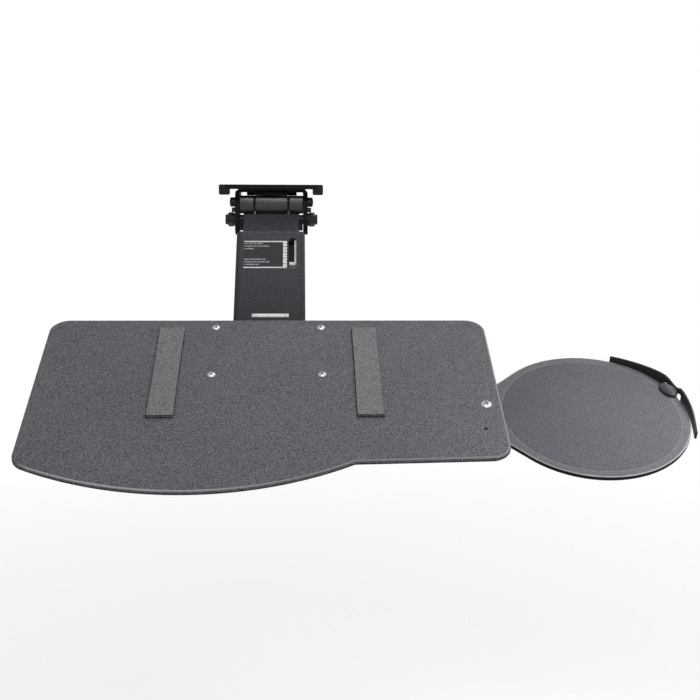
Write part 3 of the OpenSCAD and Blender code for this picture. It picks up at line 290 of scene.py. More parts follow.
dome = [(CAP_R, EAR_OUT), *quarter(CAP_R - CAP_EDGE_R, EAR_OUT + CAP_EDGE_H, CAP_EDGE_R, 0, 60),
        *quarter(0, EAR_OUT + CAP_DOME_H, CAP_DOME_R, 52, 90)]
rod = [(0, -EAR_OUT - SHAFT_OVER), (SHAFT_R, -EAR_OUT - SHAFT_OVER), (SHAFT_R, EAR_OUT)]
bore = [(0, EAR_OUT + CAP_BORE_H), (CAP_BORE_R, EAR_OUT + CAP_BORE_H), (CAP_BORE_R, EAR_OUT)]
shaft_metal = finish("shaft_metal", tone(20, 20, 21), tone(29, 29, 30), 1900, (0.3, 0.42), bump=0.08,
                     gloss=0.2)
piece("spring_shaft_turned", [lying(turned([*rod, *dome]), 1, SHAFT_Y, SHAFT_Z)],
      [shaft_metal], "bracket", "dark_steel", "spring_shaft")
piece("shaft_cap_domed", [lying(turned([*bore, *dome]), -1, SHAFT_Y, SHAFT_Z)],
      [shaft_metal], "bracket", "dark_steel", "shaft_cap")


# Lock nuts on the link rod: hexagon nuts with a chamfer at both ends and a round locking
# collar, blackened like the rod.
LINK_Z = SHAFT_Z - 24.0
NUT_FLATS, NUT_H, NUT_COLLAR_R, NUT_COLLAR_H, NUT_BORE_R, WASHER_T = 17.0, 8.5, 7.0, 3.5, 5.06, 1.5


def lock_nut(flats, height, collar_r, collar_h, bore, columns=72):
    """A nut on Z = 0: at each height the radius is the lesser of the hexagon's at that angle and a cone's,
    so the corners are cut to a curve; then the collar, and the bore back down."""
    a = np.linspace(0, 2 * np.pi, columns, endpoint=False)
    hexagon = flats / 2 / np.cos((a + np.pi / 6) % (np.pi / 3) - np.pi / 6)
    top, chamfer = height + collar_h, 0.8
    rows = np.array([(bore, 0), (flats * 0.47, 0), (flats, 0.9), (flats, height - 1.2),
                     (flats * 0.48, height), (collar_r, height), (collar_r, top - chamfer),
                     (collar_r - chamfer, top), (bore, top)])
    r = np.minimum(hexagon, rows[:, :1])
    return np.stack([r * np.cos(a), r * np.sin(a), np.outer(rows[:, 1], np.ones(columns))], -1)


nut = lock_nut(NUT_FLATS, NUT_H, NUT_COLLAR_R, NUT_COLLAR_H, NUT_BORE_R)
nut[..., 2] += EAR_OUT + WASHER_T
nut_metal = finish("nut_metal", tone(26, 26, 27), tone(38, 38, 39), 1700, (0.32, 0.45), bump=0.1, gloss=0.2,
                   worn=tone(74, 74, 76), round_off=0.0005)
piece("link_pivot_nuts_cut", [lying(nut, side, SHAFT_Y, LINK_Z) for side in (-1, 1)],
      [nut_metal], "bracket", "dark_steel", "link_pivot_nuts", across=True, sharp=25)


# Spring cover: three moulded barrels in a row round the torsion springs, with the arm's lugs turning
# in the two seams. Satin black, and drag marks along it carry the highlight upwards, for which the
# shading normal is flattened.
COVER_Z, COVER_R, SATIN_TILT = -27.5, 12.4, 0.35
cover_plastic = finish("cover_plastic", tone(15, 14, 17), tone(21, 20, 23), 1100, (0.3, 0.34), bump=0.006,
                       gloss=0.55)
tree = cover_plastic.node_tree
satin = add(tree, "ShaderNodeVectorMath", {"operation": "MULTIPLY"},
            i0=add(tree, "ShaderNodeNewGeometry").outputs["Normal"], i1=(1.0, 1.0, SATIN_TILT)).outputs[0]
satin = add(tree, "ShaderNodeVectorMath", {"operation": "NORMALIZE"}, i0=satin).outputs[0]
peel = tree.nodes["Principled BSDF"].inputs["Normal"].links[0].from_node
tree.links.new(satin, peel.inputs["Normal"])


def barrel(x0, x1, round_off=0.7):
    """A closed barrel from x0 to x1 along the axis, with a small fillet at each end."""
    edge = COVER_R - round_off
    return turned([(0, x0), (edge * 0.9, x0), *quarter(edge, x0 + round_off, round_off, -90, 0),
                   *quarter(edge, x1 - round_off, round_off, 0, 90), (edge * 0.9, x1), (0, x1)], 96)


for name, x0, x1 in (("left", -43.7, -24.66), ("centre", -22.14, 22.14), ("right", 24.66, 43.7)):
    piece(f"spring_cover_{name}_barrel", [lying(barrel(x0, x1), 1, SHAFT_Y, COVER_Z)],
          [cover_plastic], "bracket", "cover_plastic", f"spring_cover_{name}")


# Arm and link: steel channels pressed from sheet and coated in a dark grey texture paint.
# Its colour is painted with light and shade: darker on the long bends and growing darker down the arm,
# darkest on the shoulders and on the lugs under the cover, lighter on the tongue, with a painted shadow
# line under the skin's lip and a painted light line at its edge.
# Bushes of sintered bronze sit in the lugs and in the link's eyes.
ARM_SLOPE = np.radians(44)
# The bands over which the painted light and shade on the coat change, in metres along the arm from the
# shaft and out from its middle.
LUG_END, LIP_START, SKIN_START = (0.0175, 0.0185), (0.0545, 0.0555), (0.0595, 0.0605)
LIP_END, SKIN_RUN = (0.063, 0.0645), (0.062, 0.215)
BEND, TONGUE_SIDE = (0.0375, 0.042), (0.0376, 0.038)


def painted_light_and_shade(material, shade):
    """Multiplies a finish's colour by a painted light and shade that is worked out in its own nodes."""
    tree = material.node_tree
    colour = tree.nodes["Principled BSDF"].inputs["Base Color"]
    coat = colour.links[0].from_socket
    scaled = add(tree, "ShaderNodeVectorMath", {"operation": "SCALE"}, i0=coat, Scale=shade)
    tree.links.new(scaled.outputs[0], colour)


arm_paint = finish("arm_paint", tone(40, 39, 43), tone(72, 71, 76), 700, (0.5, 0.62), bump=0.16,
                   detail=2.0, gloss=0.12, worn=tone(84, 83, 88), round_off=0.0008)
paint(arm_paint, "arm_channel", "link_channel")
tree = arm_paint.node_tree
place = add(tree, "ShaderNodeTexCoord").outputs["Object"]
start = -(SHAFT_Y * np.cos(ARM_SLOPE) + SHAFT_Z * np.sin(ARM_SLOPE)) * 0.001
along = add(tree, "ShaderNodeVectorMath", {"operation": "DOT_PRODUCT"}, i0=place,
            i1=(0.0, -np.cos(ARM_SLOPE), -np.sin(ARM_SLOPE))).outputs["Value"]
along = maths(tree, "SUBTRACT", along, start)
across = maths(tree, "ABSOLUTE", add(tree, "ShaderNodeSeparateXYZ", i0=place).outputs[0])
# Painted light and shade: a light line at the skin's edge, falling off down the arm, darker bends, dark
# lugs and shoulders, a lighter tongue.
painted_fall_off = maths(tree, "MULTIPLY", spread(tree, along, *LIP_END, 1.5, 1.0),
             spread(tree, along, *SKIN_RUN, 1.55, 0.76))
bend_painted_shade = maths(tree, "MULTIPLY", spread(tree, across, *BEND, 1.0, 0.66), painted_fall_off)
groove_painted_light_and_shade = maths(tree, "MULTIPLY", spread(tree, along, *LUG_END, 0.2, 1.0),
               spread(tree, along, *LIP_START, 1.6, 0.9))
tongue_painted_light_and_shade = maths(tree, "MULTIPLY", spread(tree, across, *TONGUE_SIDE, 1.0, 0.2), groove_painted_light_and_shade)
skin = spread(tree, along, *SKIN_START)
painted_light_and_shade(arm_paint, maths(tree, "MULTIPLY_ADD", maths(tree, "SUBTRACT", bend_painted_shade, tongue_painted_light_and_shade), skin, tongue_painted_light_and_shade))
bronze = finish("bronze", tone(128, 98, 56), tone(166, 132, 80), 2600, (0.3, 0.5), bump=0.1, metal=0.9,
                worn=tone(190, 160, 110), round_off=0.0003)
paint(bronze, "arm_bushes", "link_bushes")


# Labels on the arm: thin plastic film stuck on the skin. The upper one is dark, printed in
# white with two rules, a graduated strip and rows of plain dashes; the lower one is white.
FILM_UP, FILM_T = 6.3, 0.25
LABEL_X, STRIP_X, SCALE_X, DASH_X = -35.6, 16.8, 21.9, -35.0
LABEL_START, LABEL_END, RULE_W, DASH_W, DASH_GAP = 80.0, 129.0, 2.2, 2.1, 0.9
WHITE, GREY, DARK = 1, 2, 3


def on_arm(points):
    """Points given as x, distance along the arm and height over the shaft, set on the sloping arm."""
    x, along, up = np.moveaxis(points, -1, 0)
    return np.stack([x, SHAFT_Y - along * np.cos(ARM_SLOPE) - up * np.sin(ARM_SLOPE),
                     SHAFT_Z - along * np.sin(ARM_SLOPE) + up * np.cos(ARM_SLOPE)], -1)


def printed(name, x0, x1, t0, t1, marks, inks, slot, node):
    """A film over the skin from x0 to x1 and t0 to t1, cut along the edges of its printed marks, so that
    each mark (x0, x1, t0, t1, ink) is a set of whole quads; the film gets its thickness from Solidify."""
    marks = np.array(marks, float)
    xs = np.unique(np.clip(np.concatenate([[x0, x1], marks[:, 0], marks[:, 1]]), x0, x1))
    ts = np.unique(np.clip(np.concatenate([[t0, t1], marks[:, 2], marks[:, 3]]), t0, t1))
    xm, tm = np.meshgrid((xs[:-1] + xs[1:]) / 2, (ts[:-1] + ts[1:]) / 2)
    kinds = np.zeros(xm.shape)
    for a, b, c, d, ink in marks:
        kinds[(xm > a) & (xm < b) & (tm > c) & (tm < d)] = ink
    x, t = np.meshgrid(xs, ts)
    film = piece(name, [on_arm(np.stack([x, t, np.full(x.shape, FILM_UP)], -1))], inks, "arm", slot, node,
                 loop=False, kinds=kinds)
    thick = film.modifiers.new("film", "SOLIDIFY")
    thick.thickness, thick.offset = FILM_T * 0.001, -1


def dashes(x1, t, parts):
    """A row of plain grey dashes: cells of uneven length from the margin to x1, each with a gap after."""
    cuts = DASH_X + (x1 - DASH_X) * np.cumsum([0, *parts]) / np.sum(parts)
    return [(a, b - DASH_GAP, t, t + DASH_W, GREY) for a, b in zip(cuts[:-1], cuts[1:])]


white_ink = finish("white_ink", tone(226, 226, 226), tone(240, 240, 240), 900, (0.45, 0.55), bump=0.03,
                   gloss=0.3)
film_dark = finish("film_dark", tone(48, 47, 51), tone(62, 61, 66), 700, (0.45, 0.55), bump=0.05,
                   gloss=0.12)
grey_ink = finish("grey_ink", tone(142, 141, 146), tone(162, 161, 166), 1200, (0.45, 0.55), bump=0.03,
                  gloss=0.3)
dark_ink = finish("dark_ink", tone(66, 65, 69), tone(80, 79, 83), 1200, (0.45, 0.55), bump=0.03,
                  gloss=0.3)
rules = [(LABEL_X, SCALE_X, LABEL_START, LABEL_START + RULE_W, WHITE),
         (LABEL_X, SCALE_X, LABEL_END - RULE_W, LABEL_END, WHITE),
         (STRIP_X, SCALE_X, LABEL_START, LABEL_END, WHITE)]
ticks = [(STRIP_X + (0.0 if n % 2 else 2.2), SCALE_X - 0.5, t, t + 1.2, DARK)
         for n, t in enumerate(np.arange(84.5, 127, 5.2))]
rows = [*dashes(-9.7, 83.8, (2, 1, 3, 2, 4)), *dashes(-1.5, 88.4, (1, 4, 3, 2, 5)),
        *dashes(-21.7, 93.0, (1, 3)), *dashes(-5.5, 112.2, (2, 1, 5, 2)),
        *dashes(-0.2, 116.8, (1, 3, 2, 4, 2)), *dashes(-14.0, 121.4, (1, 5, 2))]
printed("scale_label_printed", LABEL_X, SCALE_X, LABEL_START, LABEL_END, [*rules, *ticks, *rows],
        [film_dark, white_ink, grey_ink, dark_ink], "white_label", "scale_label")
printed("lower_label_printed", -22.5, 24.5, 207.6, 213.2, [
    (-20, -15, 210, 211, 1), (-4, -1, 209.6, 210.4, 1), (18, 22.5, 209.4, 210.2, 1)],
    [white_ink, grey_ink], "white_label", "lower_label")


# Height pointer: a moulded strip of white plastic. It is fixed on the link and shows through the arm's
# window, so that it moves along the scale as the arm is raised.
pointer_plastic = finish("pointer_plastic", tone(212, 212, 212), tone(228, 228, 228), 900, (0.4, 0.5),
                         bump=0.04, gloss=0.35)
paint(pointer_plastic, "height_pointer")


# Washers of natural nylon on both sides of the tilt head, and a spacer under the board at the mouse
# pivot: turned from rod, milky, waxy and a little uneven.
nylon = finish("nylon", tone(186, 184, 176), tone(206, 204, 196), 700, (0.35, 0.5), bump=0.05, gloss=0.45,
               worn=tone(226, 224, 218), round_off=0.0004)
paint(nylon, "tilt_inner_washers", "tilt_outer_washers", "mouse_spacer")


# Board: a thin hard panel faced in dark grey laminate with a fine crackled grain. Its top edge
# is eased and coloured light as a painted highlight, which painted shade darkens at the left end and
# along the rear and which is painted lighter on the left than on the right; the cut edge below is sealed
# dark.
TILT_Y, TILT_Z = -176.136169, -183.976830
BOARD_SLOPE = np.radians(26.7)
BOARD_REAR, BOARD_UP = -15.0, 24.5
BOARD_HALF, BOARD_D, BOARD_T, CORNER_R = 270.0, 278.0, 6.0, 24.0
BOW, BOW_LEFT, BOW_HALF, FRONT_RISE = 47.5, 85.0, 183.0, 5.0
EASE_R, EDGE_IN, EDGE_BAND, HOLE_R = 2.2, 4.0, 16.0, 2.0
# The bands over which the painted light and shade on the eased edge change, in metres across the board and
# along it.
LEFT_END, REAR_END, FRONT_RUN = (-0.264, -0.25), (-0.207, -0.204), (-0.12, 0.02)


def on_board(points):
    """Points from the middle of the board's rear edge, on its top face, set on the sloping board."""
    x, y, z = np.moveaxis(points, -1, 0)
    y, z = y + BOARD_REAR, z + BOARD_UP
    return np.stack([x, TILT_Y + y * np.cos(BOARD_SLOPE) - z * np.sin(BOARD_SLOPE),
                     TILT_Z + y * np.sin(BOARD_SLOPE) + z * np.cos(BOARD_SLOPE)], -1)


def arc(x, y, radius, start, end, steps=48):
    """Points on an arc, between two angles in degrees."""
    a = np.radians(np.linspace(start, end, steps))
    return np.stack([x + radius * np.cos(a), y + radius * np.sin(a)], -1)


def evenly(parts, count):
    """A closed line through all the parts, as points at equal distances along it."""
    line = np.vstack([*parts, parts[0][:1]])
    run = np.concatenate([[0], np.cumsum(np.linalg.norm(np.diff(line, axis=0), axis=1))])
    at = np.linspace(0, run[-1], count, endpoint=False)
    return np.stack([np.interp(at, run, line[:, 0]), np.interp(at, run, line[:, 1])], -1)


def slab(outline, hub, rings, edge=0.0):
    """Rings of a flat plate. A ring (None, inset, z) is the outline moved in along its normals; a ring
    (radius, None, z) is a circle about the hub, and with a radius below zero it lies that far inside the
    edge. The directions from the hub follow the outline, but where it turns back behind a corner they wait
    there with a very small step, so no quad folds over."""
    step = np.roll(outline, -1, 0) - np.roll(outline, 1, 0)
    inward = np.stack([-step[:, 1], step[:, 0]], -1) / np.linalg.norm(step, axis=1)[:, None]
    spoke = outline + inward * edge - hub
    reach = np.linalg.norm(spoke, axis=1)[:, None]
    drift = 2e-4 * np.arange(len(outline))
    turn = np.unwrap(np.arctan2(spoke[:, 1], spoke[:, 0])) - drift
    turn = np.minimum.accumulate(turn[::-1])[::-1] + drift
    spoke = np.stack([np.cos(turn), np.sin(turn)], -1)
    flat = [outline + inward * inset if radius is None
            else hub + spoke * (radius if radius >= 0 else reach - np.minimum(-radius, 0.4 * reach))
            for radius, inset, _ in rings]
    level = np.array([z for _, _, z in rings])[:, None, None] * np.ones((1, len(outline), 1))
    return np.concatenate([np.array(flat), level], -1)


def eased(radius, top, steps=7):
    """Rings that round a plate's upper edge off, from the flat to the side."""
    a = np.linspace(0, np.pi / 2, steps)
    return [(None, inset, z) for inset, z in zip(radius * (1 - np.sin(a)), top - radius * (1 - np.cos(a)))]


bow_r = (BOW_HALF ** 2 + BOW ** 2) / (2 * BOW)
bow_y = bow_r - BOARD_D - BOW
kink_x = BOW_HALF - BOW_LEFT
tilt = np.arctan(FRONT_RISE / (BOARD_HALF - kink_x))
corner_x = BOARD_HALF - CORNER_R
left_y = bow_y - np.sqrt((bow_r - CORNER_R) ** 2 - (BOW_LEFT - corner_x) ** 2)
right_y = (corner_x - kink_x) * np.tan(tilt) - BOARD_D + CORNER_R / np.cos(tilt)
left_turn = 360 + np.degrees(np.arctan2(left_y - bow_y, BOW_LEFT - corner_x))
kink_turn = 360 + np.degrees(np.arctan2(-BOARD_D - bow_y, BOW_HALF))
outline = evenly([
    arc(corner_x, -CORNER_R, CORNER_R, 0, 90), arc(-corner_x, -CORNER_R, CORNER_R, 90, 180),
    arc(-corner_x, left_y, CORNER_R, 180, left_turn),
    arc(-BOW_LEFT, bow_y, bow_r, left_turn + 1, kink_turn, 160),
    arc(corner_x, right_y, CORNER_R, np.degrees(tilt) - 90, 0)], 720)
spare_hole = np.array([246.0, -223.0])
face = [(HOLE_R, None, -0.4), (HOLE_R + 0.4, None, 0), (HOLE_R + 1.4, None, 0), (-EDGE_BAND, None, 0),
        (None, EDGE_IN, 0)]
sides = [*eased(EASE_R, 0), (None, 0, -3.8), (None, 0, 0.8 - BOARD_T), (None, 0.8, -BOARD_T)]
underside = [(None, EDGE_IN, -BOARD_T), (-EDGE_BAND, None, -BOARD_T), (HOLE_R + 1.4, None, -BOARD_T),
             (HOLE_R + 0.4, None, -BOARD_T), (HOLE_R, None, 0.4 - BOARD_T)]
kinds = np.repeat([0] * 5 + [1] * 4 + [0] * 3 + [2] * 8, len(outline))
laminate = finish("board_laminate", tone(22, 24, 28), tone(135, 137, 142), 900, (0.55, 0.75), bump=0.25,
                  detail=2.0, gloss=0.1, cloud=0.04, contrast=0.14)
eased_edge_painted_highlight = finish("eased_edge_painted_highlight", tone(136, 137, 138), tone(163, 164, 165), 900, (0.4, 0.55), bump=0.1,
                    gloss=0.25)
# Painted shade darkens the eased edge's light line at the left end and along the rear, and it is painted
# lighter on the left than on the right.
tree = eased_edge_painted_highlight.node_tree
place = add(tree, "ShaderNodeSeparateXYZ", i0=add(tree, "ShaderNodeTexCoord").outputs["Object"]).outputs
wear_and_painted_light = maths(tree, "MULTIPLY", spread(tree, place[0], *LEFT_END, 0.2, 1.0),
               spread(tree, place[1], *REAR_END, 1.0, 0.35))
painted_light_and_shade(eased_edge_painted_highlight, maths(tree, "MULTIPLY", wear_and_painted_light, spread(tree, place[0], *FRONT_RUN, 1.3, 0.75)))
sealed_edge = finish("sealed_edge", tone(36, 36, 37), tone(48, 48, 49), 900, (0.5, 0.65), bump=0.15,
                     gloss=0.08)
piece("tray_board_panel", [on_board(slab(outline, spare_hole, [*face, *sides, *underside], EDGE_IN))],
      [laminate, eased_edge_painted_highlight, sealed_edge], "tray", "board_laminate", "tray_board", across=True,
      kinds=kinds)


# Foam pads: two strips of grey closed-cell foam stuck on the board to keep a keyboard from
# sliding. Die-cut, with soft upper edges and a low crown; painted shade darkens the top and the foot
# of the cut side, and the foot flares a little all round in the same painted shade as a fine dark line.
foam = finish("foam", tone(66, 66, 68), tone(156, 156, 159), 800, (0.8, 0.95), bump=0.5, depth=0.0004,
              detail=2.0, gloss=0.08, sheen=0.1)
foam_side_painted_shade = finish("foam_side_painted_shade", tone(36, 36, 37), tone(50, 50, 51), 700, (0.8, 0.95), bump=0.4, gloss=0.05)
PAD_W, PAD_LEN, PAD_T, PAD_X, PAD_REAR, PAD_R = 31.5, 179.0, 4.0, 118.5, 22.5, 1.2
PAD_WAIST = 0.018


def cushion(width, length, corner, section):
    """A soft strip with its middle at the origin. Each ring is the outline drawn towards a spine along the
    strip's middle line by a share, at a height: section holds these pairs, from the crown to the underside.
    The long sides are drawn in a little halfway along."""
    x, y = width / 2 - corner, length / 2 - corner
    line = evenly([np.array([[0, length / 2]]), arc(-x, y, corner, 90, 180, 8),
                   arc(-x, -y, corner, 180, 270, 8), arc(x, -y, corner, 270, 360, 8),
                   arc(x, y, corner, 0, 90, 8)], 520)
    line[:, 0] *= 1 - PAD_WAIST * np.cos(np.pi * line[:, 1] / length) ** 2
    reach = (length - width) / 2
    spine = np.stack([np.zeros(len(line)), np.clip(line[:, 1], -reach, reach)], -1)
    share, z = np.array(section)[:, :, None, None].transpose(1, 0, 2, 3)
    flat = spine + (line - spine) * share
    return np.concatenate([flat, z * np.ones((1, len(line), 1))], -1)


crown = [(0, PAD_T), (0.4, PAD_T - 0.02), (0.7, PAD_T - 0.07), (0.86, PAD_T - 0.13), (0.93, PAD_T - 0.22),
         (0.957, PAD_T - 0.4), (0.965, PAD_T - 0.7), (0.965, 2.4), (0.965, 1), (0.97, 0.5),
         (1, 0.3), (1, 0), (0, 0)]
for name, side in (("left", -1), ("right", 1)):
    grid = cushion(PAD_W, PAD_LEN, PAD_R, crown) + (side * PAD_X, -PAD_REAR - PAD_LEN / 2, 0)
    # The second kind is painted shade on the top and the foot of the cut side.
    kinds = np.repeat([0] * 5 + [1] * 2 + [0] + [1] * 4, grid.shape[1])
    pad = piece(f"foam_pad_{name}", [on_board(grid)], [foam, foam_side_painted_shade], "tray", "foam", f"pad_{name}",
                kinds=kinds)


# Board screws and the mouse pivot screw: zinc-plated pan heads with a cross recess, through the
# board into nuts below. Washers and nuts have the same plating, bright and faintly cloudy.
zinc = finish("zinc", tone(158, 159, 162), tone(198, 199, 202), 1800, (0.22, 0.36), bump=0.06, metal=0.95,
              worn=tone(226, 226, 228), round_off=0.0003)
# The cross recess is coloured dark as painted shade.
recess_painted_shade = finish("recess_painted_shade", tone(54, 54, 56), tone(84, 84, 86), 1800, (0.4, 0.55), bump=0.06,
                      gloss=0.2)
paint(zinc, "board_nuts", "mouse_washer", "mouse_nut")


def pan_screw(head_d, head_h, shank_d, end, turn, columns=96):
    """A pan-head screw on Z = 0: a dome whose height falls as the 2.6th power of the radius, sunk where a
    cross of two soft-edged slots lies, then the head's side, its underside and the shank. With it comes
    a grid that is one for the quads in the recess."""
    a = np.linspace(0, 2 * np.pi, columns, endpoint=False)
    r = np.linspace(0, head_d / 2, 22)[:, None]
    x, y = np.abs(r * np.cos(a - turn)), np.abs(r * np.sin(a - turn))
    slot = np.clip((0.08 * head_d - np.minimum(x, y)) / 0.25, 0, 1)
    slot = slot * np.clip((0.27 * head_d - np.maximum(x, y)) / 0.5, 0, 1)
    rim = 0.35
    top = rim + (head_h - rim) * (1 - (2 * r / head_d) ** 2.6) - 0.5 * head_h * slot
    rows = np.array([(head_d / 2, 0.2), (head_d / 2 - 0.2, 0), (shank_d / 2, 0), (shank_d / 2, end),
                     (0, end)])
    r = np.vstack([r, rows[:, :1]]) * np.ones(columns)
    z = np.vstack([top, rows[:, 1:] * np.ones(columns)])
    sunk = (slot[1:] + slot[:-1] + np.roll(slot[1:], -1, 1) + np.roll(slot[:-1], -1, 1)) > 2
    grid = np.stack([r * np.cos(a), r * np.sin(a), z], -1)
    return grid, np.vstack([sunk, np.zeros((len(rows), columns))])


SCREW_X, SCREW_REAR, SCREW_FRONT = 65.25, -18.0, -118.5
screws = [(pan_screw(head_d=10, head_h=2.6, shank_d=5, end=-14, turn=turn), (x, y, 0)) for x, y, turn in (
    (-SCREW_X, SCREW_REAR, 0.5), (SCREW_X, SCREW_REAR, 1.1),
    (-SCREW_X, SCREW_FRONT, 0.2), (SCREW_X, SCREW_FRONT, 0.8))]
piece("board_screws_pan", [on_board(grid + at) for (grid, _), at in screws], [zinc, recess_painted_shade], "tray",
      "bright_steel", "board_screws", kinds=np.concatenate([sunk for (_, sunk), _ in screws]), sharp=30)
MOUSE_AT = np.array([252.5, -178.0, -11.0])
grid, sunk = pan_screw(head_d=13, head_h=3, shank_d=6, end=-25, turn=0.4)
piece("mouse_pivot_screw_pan", [on_board(grid + MOUSE_AT * (1, 1, 0))], [zinc, recess_painted_shade],
      "tray", "bright_steel", "mouse_pivot_screw", kinds=sunk, sharp=30)


# Mouse platform: a round moulded plate with a tapering neck that turns on the pivot screw.
# Its face is grained grey, with a raised rim round the mat's recess and a painted highlight, a light
# line, along the rim's inner and outer corners; the edge below is black.
MOUSE_TURN = np.radians(-1.5)
DISC_R, DISC_T, REACH, NECK_R, MAT_R, RIM_H, RIM_EASE = 113.0, 5.5, 122.0, 26.0, 102.0, 1.4, 1.5


def on_platform(points):
    """Points from the pivot, +X along the platform's arm, on its top face, set beside the board."""
    x, y, z = np.moveaxis(points, -1, 0)
    return on_board(np.stack([x * np.cos(MOUSE_TURN) - y * np.sin(MOUSE_TURN),
                              x * np.sin(MOUSE_TURN) + y * np.cos(MOUSE_TURN), z], -1) + MOUSE_AT)


neck_turn = np.degrees(np.arccos((NECK_R - DISC_R) / REACH))
outline = evenly([arc(REACH, 0, DISC_R, -neck_turn, neck_turn, 300),
                  arc(0, 0, NECK_R, neck_turn, 360 - neck_turn, 60)], 480)
slope = [(MAT_R + out, None, z) for out, z in (
    (-2, -RIM_H), (0.1, -RIM_H), (0.15, -0.5), (1.5, -0.3), (3.2, -0.08), (4.8, 0))]
rings = [(0, None, -RIM_H), *slope, (None, 2.6, 0), *eased(RIM_EASE, 0), (None, 0, 0.8 - DISC_T),
         (None, 0.8, -DISC_T), (None, 2, -DISC_T), (0, None, -DISC_T)]
kinds = np.repeat([0] * 3 + [3] + [0] * 4 + [1] * 4 + [2] * 6, len(outline))
platform_face = finish("platform_face", tone(61, 61, 64), tone(115, 115, 119), 900, (0.5, 0.65), bump=0.2,
                       detail=2.0, gloss=0.15, cloud=0.04)
# The rim's light lines are painted highlights on its inner slope and its outer rounding.
rim_painted_highlight = finish("rim_painted_highlight", tone(142, 142, 145), tone(166, 166, 169), 1100, (0.4, 0.5), bump=0.1,
                  gloss=0.3)
rim_corner_painted_highlight = finish("rim_corner_painted_highlight", tone(82, 82, 85), tone(118, 118, 121), 1100, (0.45, 0.55), bump=0.1,
                    gloss=0.2)
platform_edge = finish("platform_edge", tone(18, 18, 19), tone(26, 26, 27), 900, (0.4, 0.5), bump=0.08,
                       gloss=0.1)
piece("mouse_platform_moulded", [on_platform(slab(outline, np.array([REACH, 0.0]), rings))],
      [platform_face, rim_painted_highlight, platform_edge, rim_corner_painted_highlight], "platform", "platform_plastic",
      "mouse_platform", kinds=kinds)


# Mat: a disc of close-woven cloth bonded on thin rubber and cut round. It lies in the platform's
# recess, its face a little below the rim.
MAT_TOP = -0.4
mat_cloth = finish("mat_cloth", tone(61, 60, 65), tone(115, 114, 120), 1000, (0.75, 0.95), bump=0.3,
                   detail=2.0, gloss=0.08, cloud=0.05, sheen=0.1)
round_mat = arc(0, 0, MAT_R, 0, 360, 361)[:-1]
mat = slab(round_mat, np.zeros(2), [(0, None, MAT_TOP), (None, 6, MAT_TOP), (None, 1, MAT_TOP),
                                    *eased(0.25, MAT_TOP, 4), (None, 0, -RIM_H), (0, None, -RIM_H)])
piece("mouse_mat_cloth", [on_platform(mat + (REACH, 0, 0))], [mat_cloth], "platform", "mat_cloth",
      "mouse_mat")


# Mouse guard: a black moulded wall in two wings beside the rim, joined by a low strap that bulges
# round a button, with a notch on each side of it. A tab under the button holds the guard; the wing
# on the user's side flares off the rim.
GUARD_TURN = np.radians(24.5)
GUARD_HALF, GUARD_WALL, GUARD_GAP, GUARD_BULGE, GUARD_FLARE = 44.5, 2.5, 0.8, 4.8, 3.4
GUARD_HIGH, GUARD_LOW, GUARD_UNDER, GUARD_CHAMFER, GUARD_ROUND = 13.4, 6.4, -0.6 * DISC_T, 0.3, 0.9
STRAP_HIGH, STRAP_HALF, STRAP_REACH = 3.6, 5.6, 12.8
NOTCH_NEAR, NOTCH_FAR, NOTCH_H, NOTCH_STEEP = 9.5, 7.2, 8.5, 8.0
BUTTON_AT, BUTTON_HALF_W, BUTTON_HALF_LEN, HEAD_OUT = 107.0, 8.3, 13.4, 2.0
TAB_T, TAB_EDGE, TAB_UNDER = 2.0, 0.5, 0.02


def on_guard(points):
    """Points about the platform's middle, turned so that +X points at the guard's button."""
    x, y, z = np.moveaxis(points, -1, 0)
    return on_platform(np.stack([x * np.cos(GUARD_TURN) - y * np.sin(GUARD_TURN) + REACH,
                                 x * np.sin(GUARD_TURN) + y * np.cos(GUARD_TURN), z], -1))


def guard_wall(a):
    """Inner radius, top and underside of the wall at an angle: a bell-shaped bulge at the button and a
    cubic flare at the near wing's end; wings that rise towards the button by the 1.6th power and fall by
    the same bell to the strap; an underside that steps up between the wings, but not at the strap's
    middle."""
    bell = np.exp(-(a / STRAP_HALF) ** 2)
    flare = np.clip((-a - GUARD_HALF / 2) / (GUARD_HALF / 2), 0, None) ** 3
    r = DISC_R + GUARD_GAP + GUARD_BULGE * bell + GUARD_FLARE * flare
    share = np.clip((GUARD_HALF - np.abs(a)) / (GUARD_HALF - STRAP_HALF), 0, 1)
    wing = GUARD_LOW + (GUARD_HIGH - GUARD_LOW) * share ** 1.6
    past = np.abs(a) - np.where(a < 0, NOTCH_NEAR, NOTCH_FAR)
    notch = NOTCH_H * (1 - bell) / (1 + np.exp(np.clip(NOTCH_STEEP * past, -50, 50)))
    return r, wing + (STRAP_HIGH - wing) * bell, notch + GUARD_UNDER


a = np.linspace(-GUARD_HALF, GUARD_HALF, 481)
inner, top, under = (row[:, None] for row in guard_wall(a))
foot = [(0, GUARD_CHAMFER), (GUARD_CHAMFER, 0), (GUARD_WALL - GUARD_CHAMFER, 0),
        (GUARD_WALL, GUARD_CHAMFER)]
outer_edge = quarter(GUARD_WALL - GUARD_ROUND, -GUARD_ROUND, GUARD_ROUND, 0, 90, 5)
inner_edge = quarter(GUARD_ROUND, -GUARD_ROUND, GUARD_ROUND, 90, 180, 5)
section = np.array([*foot, *outer_edge, *inner_edge])
r = inner + section[:, 0]
z = np.where(np.arange(len(section)) < len(foot), under, top) + section[:, 1]
turn = np.radians(a)[:, None]
wall = np.stack([r * np.cos(turn), r * np.sin(turn), z], -1)
ends = wall.mean(1, keepdims=True) + 0 * wall
wall = np.concatenate([ends[:1], wall, ends[-1:]])
guard_plastic = finish("guard_plastic", tone(50, 50, 51), tone(61, 61, 62), 900, (0.4, 0.5), bump=0.06,
                       gloss=0.07, worn=tone(60, 60, 62), round_off=0.0008)
piece("mouse_guard_wings", [on_guard(wall)], [guard_plastic], "platform", "guard_plastic", "mouse_guard",
      sharp=50)
around = np.radians(np.arange(0, 360, 3))
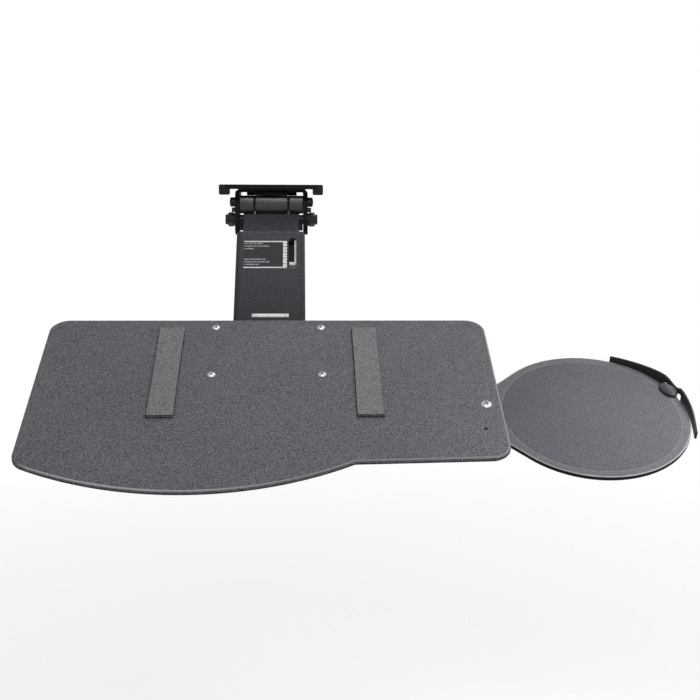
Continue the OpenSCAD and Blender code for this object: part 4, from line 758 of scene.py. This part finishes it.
bridge = np.minimum((STRAP_REACH - HEAD_OUT) / np.maximum(np.cos(around), 0.01),
                    BUTTON_HALF_W / 2 / np.maximum(np.abs(np.sin(around)), 0.01))
oval = 1 / np.hypot(np.cos(around) / (BUTTON_HALF_W + TAB_EDGE),
                    np.sin(around) / (BUTTON_HALF_LEN + TAB_EDGE))
reach = np.where(np.cos(around) > 0, np.maximum(oval, bridge), oval)
tab = slab(np.stack([reach * np.cos(around), reach * np.sin(around)], -1), np.zeros(2),
           [(0, None, TAB_T), (None, 1, TAB_T), *eased(0.4, TAB_T, 4), (None, 0, TAB_UNDER),
            (0, None, TAB_UNDER)])
piece("mouse_guard_tab", [on_guard(tab + (BUTTON_AT + HEAD_OUT, 0, 0))], [guard_plastic], "platform",
      "guard_plastic", "mouse_guard")


# Button: a low domed oval stud in grey plastic, whose stem goes through the tab and the platform.
# The head stands a little outwards over the stem, close to the strap.
BUTTON_TOP, STEM_R, STEM_END, BUTTON_COLUMNS = 7.0, 3.0, -8.0, 96
button_plastic = finish("button_plastic", tone(53, 52, 56), tone(66, 65, 69), 800, (0.42, 0.52), bump=0.05,
                        gloss=0.2)
around = np.linspace(0, 2 * np.pi, BUTTON_COLUMNS, endpoint=False)
edge = np.stack([BUTTON_HALF_W * np.cos(around), BUTTON_HALF_LEN * np.sin(around)], -1)
share = np.array([0, 0.15, 0.3, 0.45, 0.6, 0.72, 0.82, 0.9, 0.96, 0.99, 1, 1])[:, None, None]
# The head falls from its crown as the square of the share of the way out, then drops at the edge.
fall = np.append(1 - 0.8 * share[:-3] ** 2, (0.18, 0.1, 0))[:, None, None]
level = (TAB_T + (BUTTON_TOP - TAB_T) * fall) * np.ones((1, BUTTON_COLUMNS, 1))
head = np.concatenate([edge * share + (HEAD_OUT, 0), level], -1)
stem = turned([(STEM_R, TAB_T), (STEM_R, STEM_END), (0, STEM_END)], BUTTON_COLUMNS)
piece("guard_button_stud", [on_guard(np.concatenate([head, stem]) + (BUTTON_AT, 0, 0))], [button_plastic],
      "platform", "button_plastic", "guard_button")
